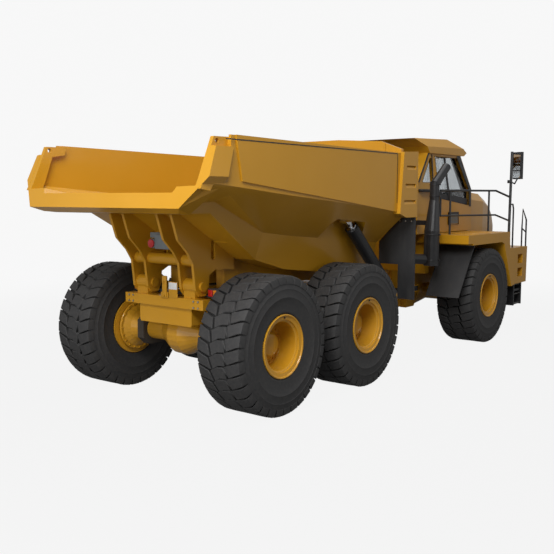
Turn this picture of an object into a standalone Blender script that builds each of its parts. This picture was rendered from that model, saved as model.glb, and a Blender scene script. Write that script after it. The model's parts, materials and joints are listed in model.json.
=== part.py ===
"""Articulated dump truck: front frame with cab and hood, hitch, rear frame with two driven axles, and a tipping body."""

import math

import bmesh
import bpy
from mathutils import Matrix, Vector

# Frame: +X forward, +Y left, +Z up, ground at z = 0, origin under the middle of the box.
# Stations along the truck are measured from the rear axle and turned into X by at().

GAP = 0.0003
RUNNING_GAP = 0.006
FACE_GAP = 0.0006

# Overall
OVERALL_LENGTH = 10.89
TAIL_OVERHANG = 1.464
TANDEM = 1.966
WHEELBASE = 4.27
TRACK = 2.67

REAR_AXLE_X = TAIL_OVERHANG - OVERALL_LENGTH / 2.0
MID_AXLE = TANDEM
FRONT_AXLE = MID_AXLE + WHEELBASE
NOSE = OVERALL_LENGTH - TAIL_OVERHANG
HALF_TRACK = TRACK / 2.0

# Wheels
TYRE_RADIUS = 0.875
TYRE_WIDTH = 0.675
TREAD_HALF = 0.318
BARREL_RADIUS = 0.34
BARREL_WALL = 0.025
FLANGE_RADIUS = 0.398
FLANGE_THICKNESS = 0.022
RIM_HALF = 0.322
DISC_RECESS = 0.30
DISC_THICKNESS = 0.035
HUB_RADIUS = 0.175
HUB_HEIGHT = 0.10
WHEEL_STEPS = 24
TYRE_STEPS = 32
LUG_DEPTH = 0.035
LUG_START = 0.83
AXLE_Z = TYRE_RADIUS

# Axles
DRUM_RADIUS = 0.295
BEAM_RADIUS = 0.15
DIFFERENTIAL_RADIUS = 0.29
AXLE_NECK = HALF_TRACK - RIM_HALF - 0.26
BEAM_INNER = AXLE_NECK - 0.133
BEAM_OUTER = AXLE_NECK - 0.013
RAIL_OUTER = BEAM_INNER - 0.14
RAIL_INNER = RAIL_OUTER - 0.12

# Hitch
HITCH = 4.45
HITCH_Z = 1.02
HITCH_PIN_RADIUS = 0.075
HITCH_BARREL_RADIUS = 0.17
HITCH_TUBE_RADIUS = 0.19
HITCH_SLEEVE_RADIUS = 0.27
HITCH_HALF_HEIGHT = 0.30
HITCH_SLEEVE_END = 4.04
STEERING_LIMIT = 45.0
OSCILLATION_LIMIT = 15.0

# Body
BODY_PIVOT = (-0.309, 1.561)
BODY_LIMIT = 70.0
WALL = 0.035
FLOOR_THICKNESS = 0.05

# Cab
CAB_HALF = 0.82
DECK_TOP = 2.02
DECK_THICKNESS = 0.15
DECK_FRONT = 7.12
CAB_FLOOR_Z = DECK_TOP + 0.01

# Lamps
LAMP_BAR_Z = 1.4173
HEADLAMP_DEPTH = (NOSE - 0.0657, NOSE - 0.008)
HEADLAMP_LOW = 1.05
HEADLAMP_HIGH = 1.21

COOLING_HALF = CAB_HALF - 0.02

# Fenders
FENDER_OUTER = HALF_TRACK + 0.335
FENDER_INNER = HALF_TRACK - 0.345
STEP_TOP = 1.70
STEP_LOW = 0.985

# Arms, rails and pins
PIN_GAP = 0.002
PIN_RADIUS = 0.06
ARM_PLATES = [(RAIL_INNER - 0.07, RAIL_INNER - 0.03), (RAIL_OUTER + 0.06, RAIL_OUTER + 0.10)]
REAR_CROSSMEMBERS = [
    # start, end, low, high
    (-0.40, -0.25, 1.04, 1.40),
    (0.90, 1.10, 1.20, 1.36),
    (2.60, 2.80, 1.00, 1.34),
    (3.55, 3.70, 0.80, 1.28),
]
BEAM_PIN_Z = 0.90
HOIST_FOOT = (3.42, 1.12)
HOIST_HEAD = (2.05, 2.38)
HOIST_Y = HALF_TRACK - 0.135
HOIST_LUG = 0.036
HOIST_EYE_HALF = 0.052
HOIST_LUG_MIDDLE = HOIST_EYE_HALF + FACE_GAP + HOIST_LUG / 2.0
STEER_FOOT = (5.35, RAIL_OUTER + 0.10)
STEER_HEAD = (4.16, 0.36)
STEER_EYE_HALF = 0.045
STEER_PLATE = 0.02
DOOR_HINGE = (5.53, CAB_HALF + 0.025)
HOOD_HINGE = (9.14, 1.37)
HOOD_EAR = 0.38
NECK_TOP = 1.39
HOOD_BOTTOM = 1.40
CAB_WALL = 0.05
GLASS = 0.006
GLASS_HALF = CAB_HALF - CAB_WALL - GAP
CAB_REAR = 4.93
CAB_OUTLINE = [
    (CAB_REAR, CAB_FLOOR_Z),
    (CAB_REAR, 2.80),
    (4.96, 2.95),
    (5.31, 3.50),
    (6.62, 3.50),
    (7.18, 2.84),
    (7.22, CAB_FLOOR_Z),
]
CAB_SPACE = [
    (CAB_REAR + 0.05, CAB_FLOOR_Z + 0.05),
    (CAB_REAR + 0.05, 2.80),
    (5.01, 2.93),
    (5.34, 3.45),
    (6.59, 3.45),
    (7.13, 2.82),
    (7.17, CAB_FLOOR_Z + 0.05),
]
SIDE_WINDOW = [(5.80, 2.66), (5.56, 3.42), (6.49, 3.42), (7.08, 2.83), (7.10, 2.52)]
DOOR_WINDOW = [(5.80, 2.68), (5.59, 3.38), (6.46, 3.38), (6.99, 2.81), (7.02, 2.56)]
# Room in the glass behind the door's hinge line, which its rear edge sweeps
DOOR_SWEEP = 0.025
QUARTER_WINDOW = [(5.10, 2.95), (5.37, 3.38), (5.42, 3.38), (5.50, 2.95)]
DOOR_OPENING = [(5.58, 2.12), (5.50, 3.44), (6.53, 3.44), (7.08, 2.82), (7.10, 2.12)]
WINDSCREEN = [(CAB_HALF - 0.12, 2.70), (CAB_HALF - 0.16, 3.44)]

PARTS = None
CUTTERS = None
MATERIALS = {}


def at(station):
    """Turn a distance ahead of the rear axle into X."""
    return REAR_AXLE_X + station


def clear_scene():
    """Remove every object that is there at the start."""
    for item in list(bpy.data.objects):
        bpy.data.objects.remove(item, do_unlink=True)


def make_collections():
    """One collection for the truck's pieces and one for the shapes that cut or join them."""
    global PARTS, CUTTERS
    PARTS = bpy.data.collections.new("articulated_dump_truck")
    CUTTERS = bpy.data.collections.new("cutters")
    bpy.context.scene.collection.children.link(PARTS)
    bpy.context.scene.collection.children.link(CUTTERS)


MATERIAL_TABLE = [
    # name, colour, roughness, metallic
    ("yellow_paint", (0.62, 0.36, 0.03), 0.4, 0.0),
    ("black_paint", (0.02, 0.02, 0.022), 0.45, 0.0),
    ("tyre_rubber", (0.03, 0.03, 0.03), 0.85, 0.0),
    ("flap_rubber", (0.02, 0.02, 0.02), 0.8, 0.0),
    ("tinted_glass", (0.12, 0.15, 0.16), 0.08, 0.0),
    ("dark_plastic", (0.05, 0.05, 0.055), 0.6, 0.0),
    ("seat_cloth", (0.04, 0.04, 0.05), 0.9, 0.0),
    ("cast_iron", (0.12, 0.11, 0.1), 0.6, 0.5),
    ("chrome_rod", (0.6, 0.6, 0.62), 0.15, 1.0),
    ("lamp_plastic", (0.5, 0.5, 0.5), 0.3, 0.0),
]


def make_materials():
    """Plain Principled materials, one for each slot."""
    for name, colour, roughness, metallic in MATERIAL_TABLE:
        material = bpy.data.materials.new(name)
        material.use_nodes = True
        shader = material.node_tree.nodes["Principled BSDF"]
        shader.inputs["Base Color"].default_value = (*colour, 1.0)
        shader.inputs["Roughness"].default_value = roughness
        shader.inputs["Metallic"].default_value = metallic
        material.diffuse_color = (*colour, 1.0)
        MATERIALS[name] = material


def add_object(name, mesh, location=(0.0, 0.0, 0.0)):
    """Link a new object to the truck's collection."""
    item = bpy.data.objects.new(name, mesh)
    item.location = location
    PARTS.objects.link(item)
    return item


def from_bmesh(name, bm, location=(0.0, 0.0, 0.0)):
    """Turn a bmesh into an object with outward normals."""
    bmesh.ops.recalc_face_normals(bm, faces=bm.faces)
    mesh = bpy.data.meshes.new(name)
    bm.to_mesh(mesh)
    bm.free()
    return add_object(name, mesh, location)


def block(name, stations, widths, heights):
    """A box between two stations, two widths and two heights."""
    bm = bmesh.new()
    bmesh.ops.create_cube(bm, size=1.0)
    low = Vector((at(min(stations)), min(widths), min(heights)))
    high = Vector((at(max(stations)), max(widths), max(heights)))
    size = high - low
    bmesh.ops.scale(bm, vec=size, verts=bm.verts)
    bmesh.ops.translate(bm, vec=(low + high) / 2.0, verts=bm.verts)
    return from_bmesh(name, bm)


def bar(name, start, end, radius, sides=16, radius_end=None):
    """A round bar between two points given as (station, y, z)."""
    first = Vector((at(start[0]), start[1], start[2]))
    last = Vector((at(end[0]), end[1], end[2]))
    axis = last - first
    bm = bmesh.new()
    bmesh.ops.create_cone(
        bm,
        cap_ends=True,
        segments=sides,
        radius1=radius,
        radius2=radius if radius_end is None else radius_end,
        depth=axis.length,
    )
    turn = axis.to_track_quat("Z", "Y").to_matrix().to_4x4()
    bmesh.ops.transform(bm, matrix=Matrix.Translation((first + last) / 2.0) @ turn, verts=bm.verts)
    return smooth_sides(from_bmesh(name, bm))


def smooth_sides(item, angle=35.0):
    """Shade round sides smooth and keep sharp edges sharp."""
    item.data.set_sharp_from_angle(angle=math.radians(angle))
    item.data.polygons.foreach_set("use_smooth", [True] * len(item.data.polygons))
    return item


PLANE_TURNS = {
    "side": Matrix(((1, 0, 0), (0, 0, -1), (0, 1, 0))).to_4x4(),
    "front": Matrix(((0, 0, 1), (1, 0, 0), (0, 1, 0))).to_4x4(),
    "top": Matrix.Identity(4),
}


def plate(name, plane, outline, start, end):
    """A flat outline given a thickness.

    side: outline of (station, z), thickness from y = start to y = end.
    front: outline of (y, z), thickness from one station to the other.
    top: outline of (station, y), thickness from z = start to z = end.
    """
    shift = {"side": (at(0.0), 0.0), "front": (0.0, 0.0), "top": (at(0.0), 0.0)}[plane]
    curve = bpy.data.curves.new(name, "CURVE")
    curve.dimensions = "2D"
    curve.fill_mode = "BOTH"
    curve.extrude = abs(end - start) / 2.0
    spline = curve.splines.new("POLY")
    spline.points.add(len(outline) - 1)
    for point, (a, b) in zip(spline.points, outline):
        point.co = (a + shift[0], b + shift[1], 0.0, 1.0)
    spline.use_cyclic_u = True
    middle = (start + end) / 2.0
    if plane == "front":
        middle = at(middle)
    offset = {"side": (0, middle, 0), "front": (middle, 0, 0), "top": (0, 0, middle)}[plane]
    return curve_solid(name, curve, Matrix.Translation(offset) @ PLANE_TURNS[plane])


def curve_solid(name, curve, matrix):
    """Turn a curve into a closed mesh with welded caps."""
    source = bpy.data.objects.new(name + "_curve", curve)
    PARTS.objects.link(source)
    bpy.context.view_layer.update()
    evaluated = source.evaluated_get(bpy.context.evaluated_depsgraph_get())
    mesh = bpy.data.meshes.new_from_object(evaluated)
    bpy.data.objects.remove(source, do_unlink=True)
    bm = bmesh.new()
    bm.from_mesh(mesh)
    bpy.data.meshes.remove(mesh)
    bmesh.ops.remove_doubles(bm, verts=bm.verts, dist=0.0001)
    bmesh.ops.transform(bm, matrix=matrix, verts=bm.verts)
    return from_bmesh(name, bm)


def pipe(name, points, radius, sides=8):
    """A bent round tube with closed ends through (station, y, z) points."""
    curve = bpy.data.curves.new(name, "CURVE")
    curve.dimensions = "3D"
    curve.bevel_depth = radius
    curve.bevel_resolution = 2
    curve.use_fill_caps = True
    spline = curve.splines.new("POLY")
    spline.points.add(len(points) - 1)
    for point, (station, y, z) in zip(spline.points, points):
        point.co = (at(station), y, z, 1.0)
    return smooth_sides(curve_solid(name, curve, Matrix.Identity(4)))


def turned(name, profile, centre, toward=1.0, steps=32, closed=False):
    """A shape turned about the Y axis through centre.

    profile is (radius, offset) from the outer end to the inner end; toward gives the side
    that the outer end faces.
    """
    mesh = bpy.data.meshes.new(name)
    edges = [(i, i + 1) for i in range(len(profile) - 1)]
    if closed:
        edges.append((len(profile) - 1, 0))
    mesh.from_pydata([(radius, 0.0, offset) for radius, offset in profile], edges, [])
    item = add_object(name, mesh, (at(centre[0]), centre[1], centre[2]))
    item.rotation_euler = (math.radians(-90.0 * toward), 0.0, 0.0)
    spin = item.modifiers.new("Turn", "SCREW")
    spin.steps = steps
    spin.render_steps = steps
    spin.use_merge_vertices = True
    spin.merge_threshold = 0.0001
    spin.use_smooth_shade = True
    return item


def loft(name, sections):
    """A closed solid through sections of equal point counts, each a list of (station, y, z)."""
    bm = bmesh.new()
    rings = [[bm.verts.new((at(s), y, z)) for s, y, z in section] for section in sections]
    for first, second in zip(rings, rings[1:]):
        for i in range(len(first)):
            j = (i + 1) % len(first)
            bm.faces.new((first[i], first[j], second[j], second[i]))
    bm.faces.new(rings[0])
    bm.faces.new(list(reversed(rings[-1])))
    return from_bmesh(name, bm)


def use_as_cutter(item):
    """Keep a helper shape out of sight, away from the truck's pieces."""
    PARTS.objects.unlink(item)
    CUTTERS.objects.link(item)
    item.hide_render = True
    item.display_type = "WIRE"


def combine(item, others, operation):
    """Add one exact boolean for each of the other shapes."""
    for other in others:
        step = item.modifiers.new(other.name, "BOOLEAN")
        step.operation = operation
        step.solver = "EXACT"
        step.object = other
        use_as_cutter(other)
    return item


def unite(item, others):
    """Join other shapes to a piece."""
    return combine(item, others, "UNION")


def cut(item, others):
    """Cut other shapes out of a piece."""
    return combine(item, others, "DIFFERENCE")


def set_origin(item, station, y, z):
    """Move a piece's origin to a point on its joint axis and leave its shape in place."""
    point = Vector((at(station), y, z))
    item.data.transform(Matrix.Translation(-point))
    item.location = point
    return item


def finish(item, slot):
    """Give a piece its material."""
    item.data.materials.clear()
    item.data.materials.append(MATERIALS[slot])
    return item


def symmetric(points):
    """Close a half outline of (y, z) points by its mirror image."""
    return [(-y, z) for y, z in reversed(points)] + list(points)


# Wheels

WHEEL_TABLE = [
    # place, station, side
    ("front_left", FRONT_AXLE, 1),
    ("front_right", FRONT_AXLE, -1),
    ("mid_left", MID_AXLE, 1),
    ("mid_right", MID_AXLE, -1),
    ("rear_left", 0.0, 1),
    ("rear_right", 0.0, -1),
]


def tyre(place, station, side):
    """Tyre section: bead, sidewall, shoulder and tread, seated on the rim barrel, with lugs round the tread."""
    seat = BARREL_RADIUS / math.cos(math.pi / TYRE_STEPS) + GAP
    lip = FLANGE_RADIUS / math.cos(math.pi / TYRE_STEPS) + GAP
    bead = RIM_HALF - FLANGE_THICKNESS - GAP
    half = TYRE_WIDTH / 2.0
    upper = [
        (seat, bead),
        (lip, bead),
        (0.52, half - 0.006),
        (0.62, half),
        (0.79, half - 0.008),
        (0.845, TREAD_HALF),
        (TYRE_RADIUS, TREAD_HALF - 0.05),
    ]
    profile = upper + [(radius, -offset) for radius, offset in reversed(upper)]
    item = turned(
        "tyre_" + place,
        profile,
        (station, side * HALF_TRACK, AXLE_Z),
        side,
        TYRE_STEPS,
        closed=True,
    )
    add_lugs(item)
    return finish(item, "tyre_rubber")


def add_lugs(item):
    """Lower the tread between lugs: every other step on one half and the steps between on the other."""
    bpy.context.view_layer.update()
    evaluated = item.evaluated_get(bpy.context.evaluated_depsgraph_get())
    mesh = bpy.data.meshes.new_from_object(evaluated)
    item.modifiers.clear()
    item.data = mesh
    for vertex in mesh.vertices:
        radius = math.hypot(vertex.co.x, vertex.co.y)
        step = round(math.atan2(vertex.co.y, vertex.co.x) / (2.0 * math.pi / TYRE_STEPS))
        between_lugs = (step % 2 == 0) == (vertex.co.z > 0.0)
        if radius > LUG_START and between_lugs:
            share = 1.0 - LUG_DEPTH / radius
            vertex.co.x *= share
            vertex.co.y *= share
    smooth_sides(item, 25.0)


def rim(place, station, side):
    """Rim with a deep dished disc and a round hub cover."""
    inner = BARREL_RADIUS - BARREL_WALL
    flange = RIM_HALF - FLANGE_THICKNESS
    face = RIM_HALF - DISC_RECESS
    hub = face + HUB_HEIGHT
    profile = [
        (0.0, hub),
        (HUB_RADIUS - 0.03, hub),
        (HUB_RADIUS, face),
        (inner, face),
        (inner, RIM_HALF - 0.01),
        (inner + 0.01, RIM_HALF),
        (FLANGE_RADIUS, RIM_HALF),
        (FLANGE_RADIUS, flange),
        (BARREL_RADIUS, flange),
        (BARREL_RADIUS, -flange),
        (FLANGE_RADIUS, -flange),
        (FLANGE_RADIUS, -RIM_HALF),
        (inner, -RIM_HALF),
        (inner, face - DISC_THICKNESS),
        (0.0, face - DISC_THICKNESS),
    ]
    item = turned("rim_" + place, profile, (station, side * HALF_TRACK, AXLE_Z), side, WHEEL_STEPS)
    return finish(item, "yellow_paint")


def axle(name, station):
    """Axle housing with a differential in the middle and a final drive drum at each end."""
    disc_back = HALF_TRACK + RIM_HALF - DISC_RECESS - DISC_THICKNESS
    drum_end = disc_back - FACE_GAP
    drum_start = HALF_TRACK - RIM_HALF - 0.06
    half = [
        (0.0, drum_end),
        (DRUM_RADIUS - 0.015, drum_end),
        (DRUM_RADIUS, drum_end - 0.015),
        (DRUM_RADIUS, drum_start),
        (DRUM_RADIUS * 0.72, drum_start - 0.06),
        (BEAM_RADIUS, AXLE_NECK),
        (BEAM_RADIUS, 0.34),
        (DIFFERENTIAL_RADIUS * 0.85, 0.17),
        (DIFFERENTIAL_RADIUS, 0.09),
    ]
    profile = half + [(radius, -offset) for radius, offset in reversed(half)]
    item = turned(name, profile, (station, 0.0, AXLE_Z), 1.0, 24)
    return finish(item, "yellow_paint")


# Body

def hull_section(station, floor_out, floor_z, knee_out, knee_z, side_out, ledge_z, top_z, inset=0.0):
    """One cross-section of the load space, as eight points from left top to right top."""
    half = [
        (HALF_TRACK + floor_out - inset, floor_z),
        (HALF_TRACK + knee_out - inset, knee_z),
        (HALF_TRACK + side_out - inset, ledge_z),
        (HALF_TRACK + side_out - inset, top_z),
    ]
    return [(station, y, z) for y, z in symmetric(half)]


BODY_SECTIONS = [
    # station, floor, floor z, knee, knee z, side, ledge z, top z; widths are outward from the middle of the tyres
    (3.17, -0.415, 1.46, -0.285, 1.98, 0.245, 2.46, 3.335),
    (0.33, -0.415, 1.78, -0.285, 2.22, 0.245, 2.70, 3.352),
    (-1.34, -0.105, 2.50, -0.073, 2.567, 0.245, 2.855, 3.385),
]
SPACE_CORNER = (2.80, 0.35)
POCKET_OUTER = [
    (1.57, 1.95),
    (1.525, 2.14),
    (1.53, 2.33),
    (1.64, 2.48),
    (1.84, 2.53),
    (2.03, 2.54),
    (2.17, 2.53),
    (2.80, 1.95),
]
POCKET_SPACE = [
    (1.60, 1.90),
    (1.552, 2.13),
    (1.558, 2.31),
    (1.66, 2.45),
    (1.85, 2.50),
    (2.03, 2.51),
    (2.15, 2.50),
    (2.80, 1.90),
]
TAIL_SLOPE = [
    (-TAIL_OVERHANG, 2.30),
    (-TAIL_OVERHANG, 2.565),
    (-1.30, 2.89),
    (-1.146, 3.242),
    (-0.99, 3.60),
    (-1.90, 3.60),
    (-1.90, 2.30),
]
TAIL_POST = [
    (-1.353, 2.78),
    (-1.297, 2.89),
    (-1.144, 3.235),
    (-1.094, 3.349),
    (-0.78, 3.354),
    (-0.80, 3.25),
    (-1.00, 3.22),
    (-1.12, 2.90),
    (-1.20, 2.72),
]
TAIL_BACK = [(-1.50, 0.0275, 2.5835), (-1.50, 0.305, 2.9116), (-1.50, 0.275, 3.24)]
TAIL_FORE = [(-1.158, -0.12, 2.408), (-0.978, 0.305, 2.91), (-0.86, 0.275, 3.24)]
SIDE_PANEL = [(-0.70, 2.864), (1.61, 2.608), (2.93, 2.455), (2.93, 3.337), (-0.80, 3.377)]
FRONT_POST = [(2.82, 2.44), (3.00, 2.38), (3.35, 2.38), (3.355, 3.378), (2.92, 3.355)]
FRONT_GUARD = [(1.50, 3.28), (1.50, 3.41), (1.126, 3.545), (0.343, 3.595)]
POST_LOUVRES = [
    # start, end, top z
    (3.00, 3.29, 3.155),
    (2.97, 3.29, 2.885),
    (2.93, 3.29, 2.640),
]


def dump_body():
    """Load body: hull with a hollow load space, tail ramp, sloping tail frame, side panels and front posts."""
    shell = loft("dump_body", [hull_section(*row) for row in BODY_SECTIONS])
    back = mirrored([(station, HALF_TRACK + out, z) for station, out, z in TAIL_BACK])
    fore = mirrored([(station, HALF_TRACK + out, z) for station, out, z in TAIL_FORE])
    unite(shell, [loft("tail_frame", [back, fore])])
    for side in (-1, 1):
        panel = plate(
            "side_panel",
            "side",
            SIDE_PANEL,
            side * (HALF_TRACK + 0.165),
            side * (HALF_TRACK + 0.265),
        )
        post = plate(
            "front_post",
            "side",
            FRONT_POST,
            side * (HALF_TRACK + 0.115),
            side * (HALF_TRACK + 0.32),
        )
        unite(shell, [panel, post])
        cut(shell, [louvre(side, *row) for row in POST_LOUVRES])
    guard = plate("front_guard", "front", symmetric(FRONT_GUARD), 3.10, 3.165)
    bolster = [block("bolster", (0.2, 3.0), (side * RAIL_INNER, side * (RAIL_OUTER + 0.02)), (1.44, 1.90)) for side in (-1, 1)]
    unite(shell, [guard] + bolster + pivot_arms())
    cut(shell, [load_space()] + pivot_holes())
    reach = HALF_TRACK + 0.6
    cut(shell, [plate("tail_slope", "side", TAIL_SLOPE, -reach, reach)])
    for side in (-1, 1):
        unite(
            shell,
            [
                plate(
                    "tail_post",
                    "side",
                    TAIL_POST,
                    side * (HALF_TRACK + 0.145),
                    side * (HALF_TRACK + 0.235),
                )
            ],
        )
        notch = block(
            "notch",
            (-1.30, -0.87),
            (side * (HALF_TRACK + 0.195), side * (HALF_TRACK + 0.40)),
            (3.245, 3.60),
        )
        hole = bar("lug_hole", (-1.045, side * 1.2, 3.302), (-1.045, side * 1.8, 3.302), 0.03, 12)
        cut(shell, [notch, hole])
        within = loft("wall_middle", [middle_of_wall(*row) for row in BODY_SECTIONS])
        pocket = plate("pocket", "side", POCKET_OUTER, side * (HOIST_Y - 0.18), side * (HOIST_Y + 0.18))
        combine(pocket, [within], "INTERSECT")
        unite(shell, [pocket])
        cut(
            shell,
            [
                plate(
                    "pocket_space",
                    "side",
                    POCKET_SPACE,
                    side * (HOIST_Y - 0.15),
                    side * (HOIST_Y + 0.15),
                )
            ],
        )
        station, z = HOIST_HEAD
        for offset in (-HOIST_LUG_MIDDLE, HOIST_LUG_MIDDLE):
            lug = [
                (station - 0.08, z - 0.05),
                (station - 0.08, z + 0.25),
                (station + 0.08, z + 0.25),
                (station + 0.08, z - 0.05),
            ]
            y = side * HOIST_Y + offset
            unite(shell, [plate("head_lug", "side", lug, y - HOIST_LUG / 2.0, y + HOIST_LUG / 2.0)])
    set_origin(shell, BODY_PIVOT[0], 0.0, BODY_PIVOT[1])
    return finish(shell, "yellow_paint")


def middle_of_wall(station, floor_out, floor_z, knee_out, knee_z, side_out, ledge_z, top_z):
    """A cross-section that runs inside the thickness of the hull's walls and floor."""
    return hull_section(
        station,
        floor_out,
        floor_z + 0.015,
        knee_out,
        knee_z + 0.008,
        side_out,
        ledge_z + 0.008,
        top_z,
        0.012,
    )


def between(first, second, station):
    """A row part way between two rows."""
    share = (station - first[0]) / (second[0] - first[0])
    return [a + (b - a) * share for a, b in zip(first, second)]


def load_space():
    """The hollow of the body, with faceted front corners and a floor that runs out over the tail."""
    front, middle, rear = BODY_SECTIONS
    corner_station, corner_width = SPACE_CORNER
    head = between(front, middle, front[0] - WALL)
    head[5] -= corner_width
    tail = list(rear)
    tail[0] -= 0.25
    tail[2] += 0.30
    tail[4] += 0.30
    rows = [head, between(front, middle, corner_station), list(middle), tail]
    sections = []
    for station, floor_out, floor_z, knee_out, knee_z, side_out, ledge_z, top_z in rows:
        sections.append(
            hull_section(
                station,
                floor_out,
                floor_z + FLOOR_THICKNESS,
                knee_out,
                knee_z + 0.02,
                side_out,
                ledge_z + 0.02,
                top_z + 0.3,
                WALL,
            )
        )
    return loft("load_space", sections)


def louvre(side, start, end, top):
    """Wedge that cuts one louvre into the outer face of a front post."""
    face = HALF_TRACK + 0.32
    outline = [
        (side * (face + 0.01), top),
        (side * (face - 0.03), top),
        (side * (face + 0.01), top - 0.08),
    ]
    return plate("louvre", "front", outline, start, end)


def mirrored(points):
    """Close one side's (station, y, z) points by their mirror image."""
    return [(s, -y, z) for s, y, z in reversed(points)] + list(points)


def pivot_arms():
    """Twin plates under the tail that carry the body on its rear pins, with a cross tube."""
    outline = [
        (-1.00, 2.45),
        (-0.55, 2.00),
        (-0.46, 1.86),
        (-0.42, 1.52),
        (-0.36, 1.44),
        (-0.24, 1.44),
        (-0.18, 1.55),
        (-0.17, 1.70),
        (-0.05, 1.76),
        (0.30, 1.74),
        (0.30, 1.86),
        (-0.20, 2.10),
        (-0.75, 2.35),
    ]
    plates = []
    for side in (-1, 1):
        for inner, outer in ARM_PLATES:
            plates.append(plate("arm_plate", "side", outline, side * inner, side * outer))
    reach = ARM_PLATES[1][1] - 0.01
    plates.append(bar("cross_tube", (-0.356, -reach, 1.89), (-0.356, reach, 1.89), 0.075, 20))
    return plates


def pivot_holes():
    """Holes through the arms for the pivot pins, and one round opening ahead of them."""
    station, z = BODY_PIVOT
    return [
        bar("pin_hole", (station, -0.8, z), (station, 0.8, z), PIN_RADIUS + PIN_GAP, 20),
        bar("round_hole", (-0.10, -0.8, 1.93), (-0.10, 0.8, 1.93), 0.04, 16),
    ]


def body_flap(name, side):
    """Rubber flap hung across the front corner of the body, ahead of the mid tyre."""
    outline = [
        (side * (HALF_TRACK + 0.025), 1.10),
        (side * (HALF_TRACK + 0.315), 1.10),
        (side * (HALF_TRACK + 0.315), 2.3797),
        (side * (HALF_TRACK + 0.065), 2.3797),
        (side * (HALF_TRACK - 0.32), 1.99),
        (side * (HALF_TRACK - 0.32), 1.64),
        (side * (HALF_TRACK + 0.025), 1.64),
    ]
    item = plate(name, "front", outline, 3.30, 3.32)
    set_origin(item, BODY_PIVOT[0], 0.0, BODY_PIVOT[1])
    return finish(item, "flap_rubber")


# Rear frame

def rear_frame():
    """Two box rails with crossmembers, pivot pedestals and the sleeve round the hitch tube."""
    outline = [
        (-0.40, 1.06),
        (-0.40, 1.42),
        (3.20, 1.36),
        (3.70, 1.30),
        (3.70, 0.78),
        (3.20, 0.90),
        (2.60, 1.06),
    ]
    frame = plate("rear_frame", "side", outline, RAIL_INNER, RAIL_OUTER)
    pieces = [plate("rail", "side", outline, -RAIL_OUTER, -RAIL_INNER)]
    for start, end, low, high in REAR_CROSSMEMBERS:
        pieces.append(
            block("crossmember", (start, end), (-RAIL_OUTER + 0.01, RAIL_OUTER - 0.01), (low, high))
        )
    pieces.append(block("tail_beam", (-0.44, -0.30), (-0.72, 0.72), (1.28, 1.41)))
    for side in (-1, 1):
        foot, head = side * (ARM_PLATES[0][1] + RUNNING_GAP), side * (ARM_PLATES[1][0] - RUNNING_GAP)
        station, z = BODY_PIVOT
        pieces.append(block("pedestal", (station - 0.08, station + 0.09), (foot, head), (1.30, z)))
        pieces.append(
            bar(
                "pivot_boss",
                (station, side * (ARM_PLATES[0][1] + FACE_GAP), z),
                (station, side * (ARM_PLATES[1][0] - FACE_GAP), z),
                0.10,
                20,
            )
        )
        pieces.append(
            bar(
                "pivot_pin",
                (station, side * (ARM_PLATES[0][0] - 0.02), z),
                (station, side * (ARM_PLATES[1][1] + 0.04), z),
                PIN_RADIUS,
                20,
            )
        )
        foot_x, foot_z = HOIST_FOOT
        pieces.append(
            bar(
                "hoist_shaft",
                (foot_x, side * (RAIL_OUTER - 0.03), foot_z),
                (foot_x, side * (HOIST_Y - 0.05 - FACE_GAP), foot_z),
                0.054,
                16,
            )
        )
        pieces.append(
            bar(
                "hoist_pin",
                (foot_x, side * (HOIST_Y - 0.20), foot_z),
                (foot_x, side * (HOIST_Y + 0.08), foot_z),
                0.038,
                16,
            )
        )
        pieces.append(
            bar(
                "hoist_washer",
                (foot_x, side * (HOIST_Y + 0.05 + FACE_GAP), foot_z),
                (foot_x, side * (HOIST_Y + 0.07), foot_z),
                0.054,
                16,
            )
        )
        pieces.append(
            bar(
                "beam_pin",
                (TANDEM / 2.0, side * (RAIL_OUTER - 0.03), BEAM_PIN_Z),
                (TANDEM / 2.0, side * (BEAM_OUTER + 0.06), BEAM_PIN_Z),
                0.07,
                16,
            )
        )
        pieces.append(
            block(
                "beam_bracket",
                (TANDEM / 2.0 - 0.16, TANDEM / 2.0 + 0.16),
                (side * (RAIL_OUTER - 0.06), side * (BEAM_INNER - 0.06)),
                (BEAM_PIN_Z - 0.10, 1.2),
            )
        )
    pieces.append(
        bar("sleeve", (3.62, 0.0, HITCH_Z), (HITCH_SLEEVE_END, 0.0, HITCH_Z), HITCH_SLEEVE_RADIUS, 28)
    )
    unite(frame, pieces)
    cut(
        frame,
        [bar("tube_bore", (3.50, 0.0, HITCH_Z), (4.10, 0.0, HITCH_Z), HITCH_TUBE_RADIUS + PIN_GAP, 28)],
    )
    set_origin(frame, HITCH, 0.0, HITCH_Z)
    return finish(frame, "yellow_paint")


def walking_beam(name, side):
    """Beam between the two rear axles, hung on the frame's pin."""
    middle = TANDEM / 2.0
    reach = BEAM_RADIUS + 0.07
    outline = [
        (-reach, AXLE_Z - 0.12),
        (-reach, AXLE_Z + 0.12),
        (-0.10, AXLE_Z + reach),
        (0.20, AXLE_Z + reach),
        (middle, BEAM_PIN_Z + 0.17),
        (TANDEM - 0.20, AXLE_Z + reach),
        (TANDEM + 0.10, AXLE_Z + reach),
        (TANDEM + reach, AXLE_Z + 0.12),
        (TANDEM + reach, AXLE_Z - 0.12),
        (TANDEM + 0.10, AXLE_Z - reach),
        (TANDEM - 0.20, AXLE_Z - reach),
        (middle, BEAM_PIN_Z - 0.17),
        (0.20, AXLE_Z - reach),
        (-0.10, AXLE_Z - reach),
    ]
    item = plate(name, "side", outline, side * BEAM_INNER, side * BEAM_OUTER)
    near, far = side * (BEAM_INNER - 0.1), side * (BEAM_OUTER + 0.1)
    holes = [bar("beam_hole", (middle, near, BEAM_PIN_Z), (middle, far, BEAM_PIN_Z), 0.07 + GAP, 16)]
    for station in (0.0, TANDEM):
        holes.append(
            bar("axle_hole", (station, near, AXLE_Z), (station, far, AXLE_Z), BEAM_RADIUS + 0.0009, 24)
        )
    cut(item, holes)
    return finish(item, "cast_iron")


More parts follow.
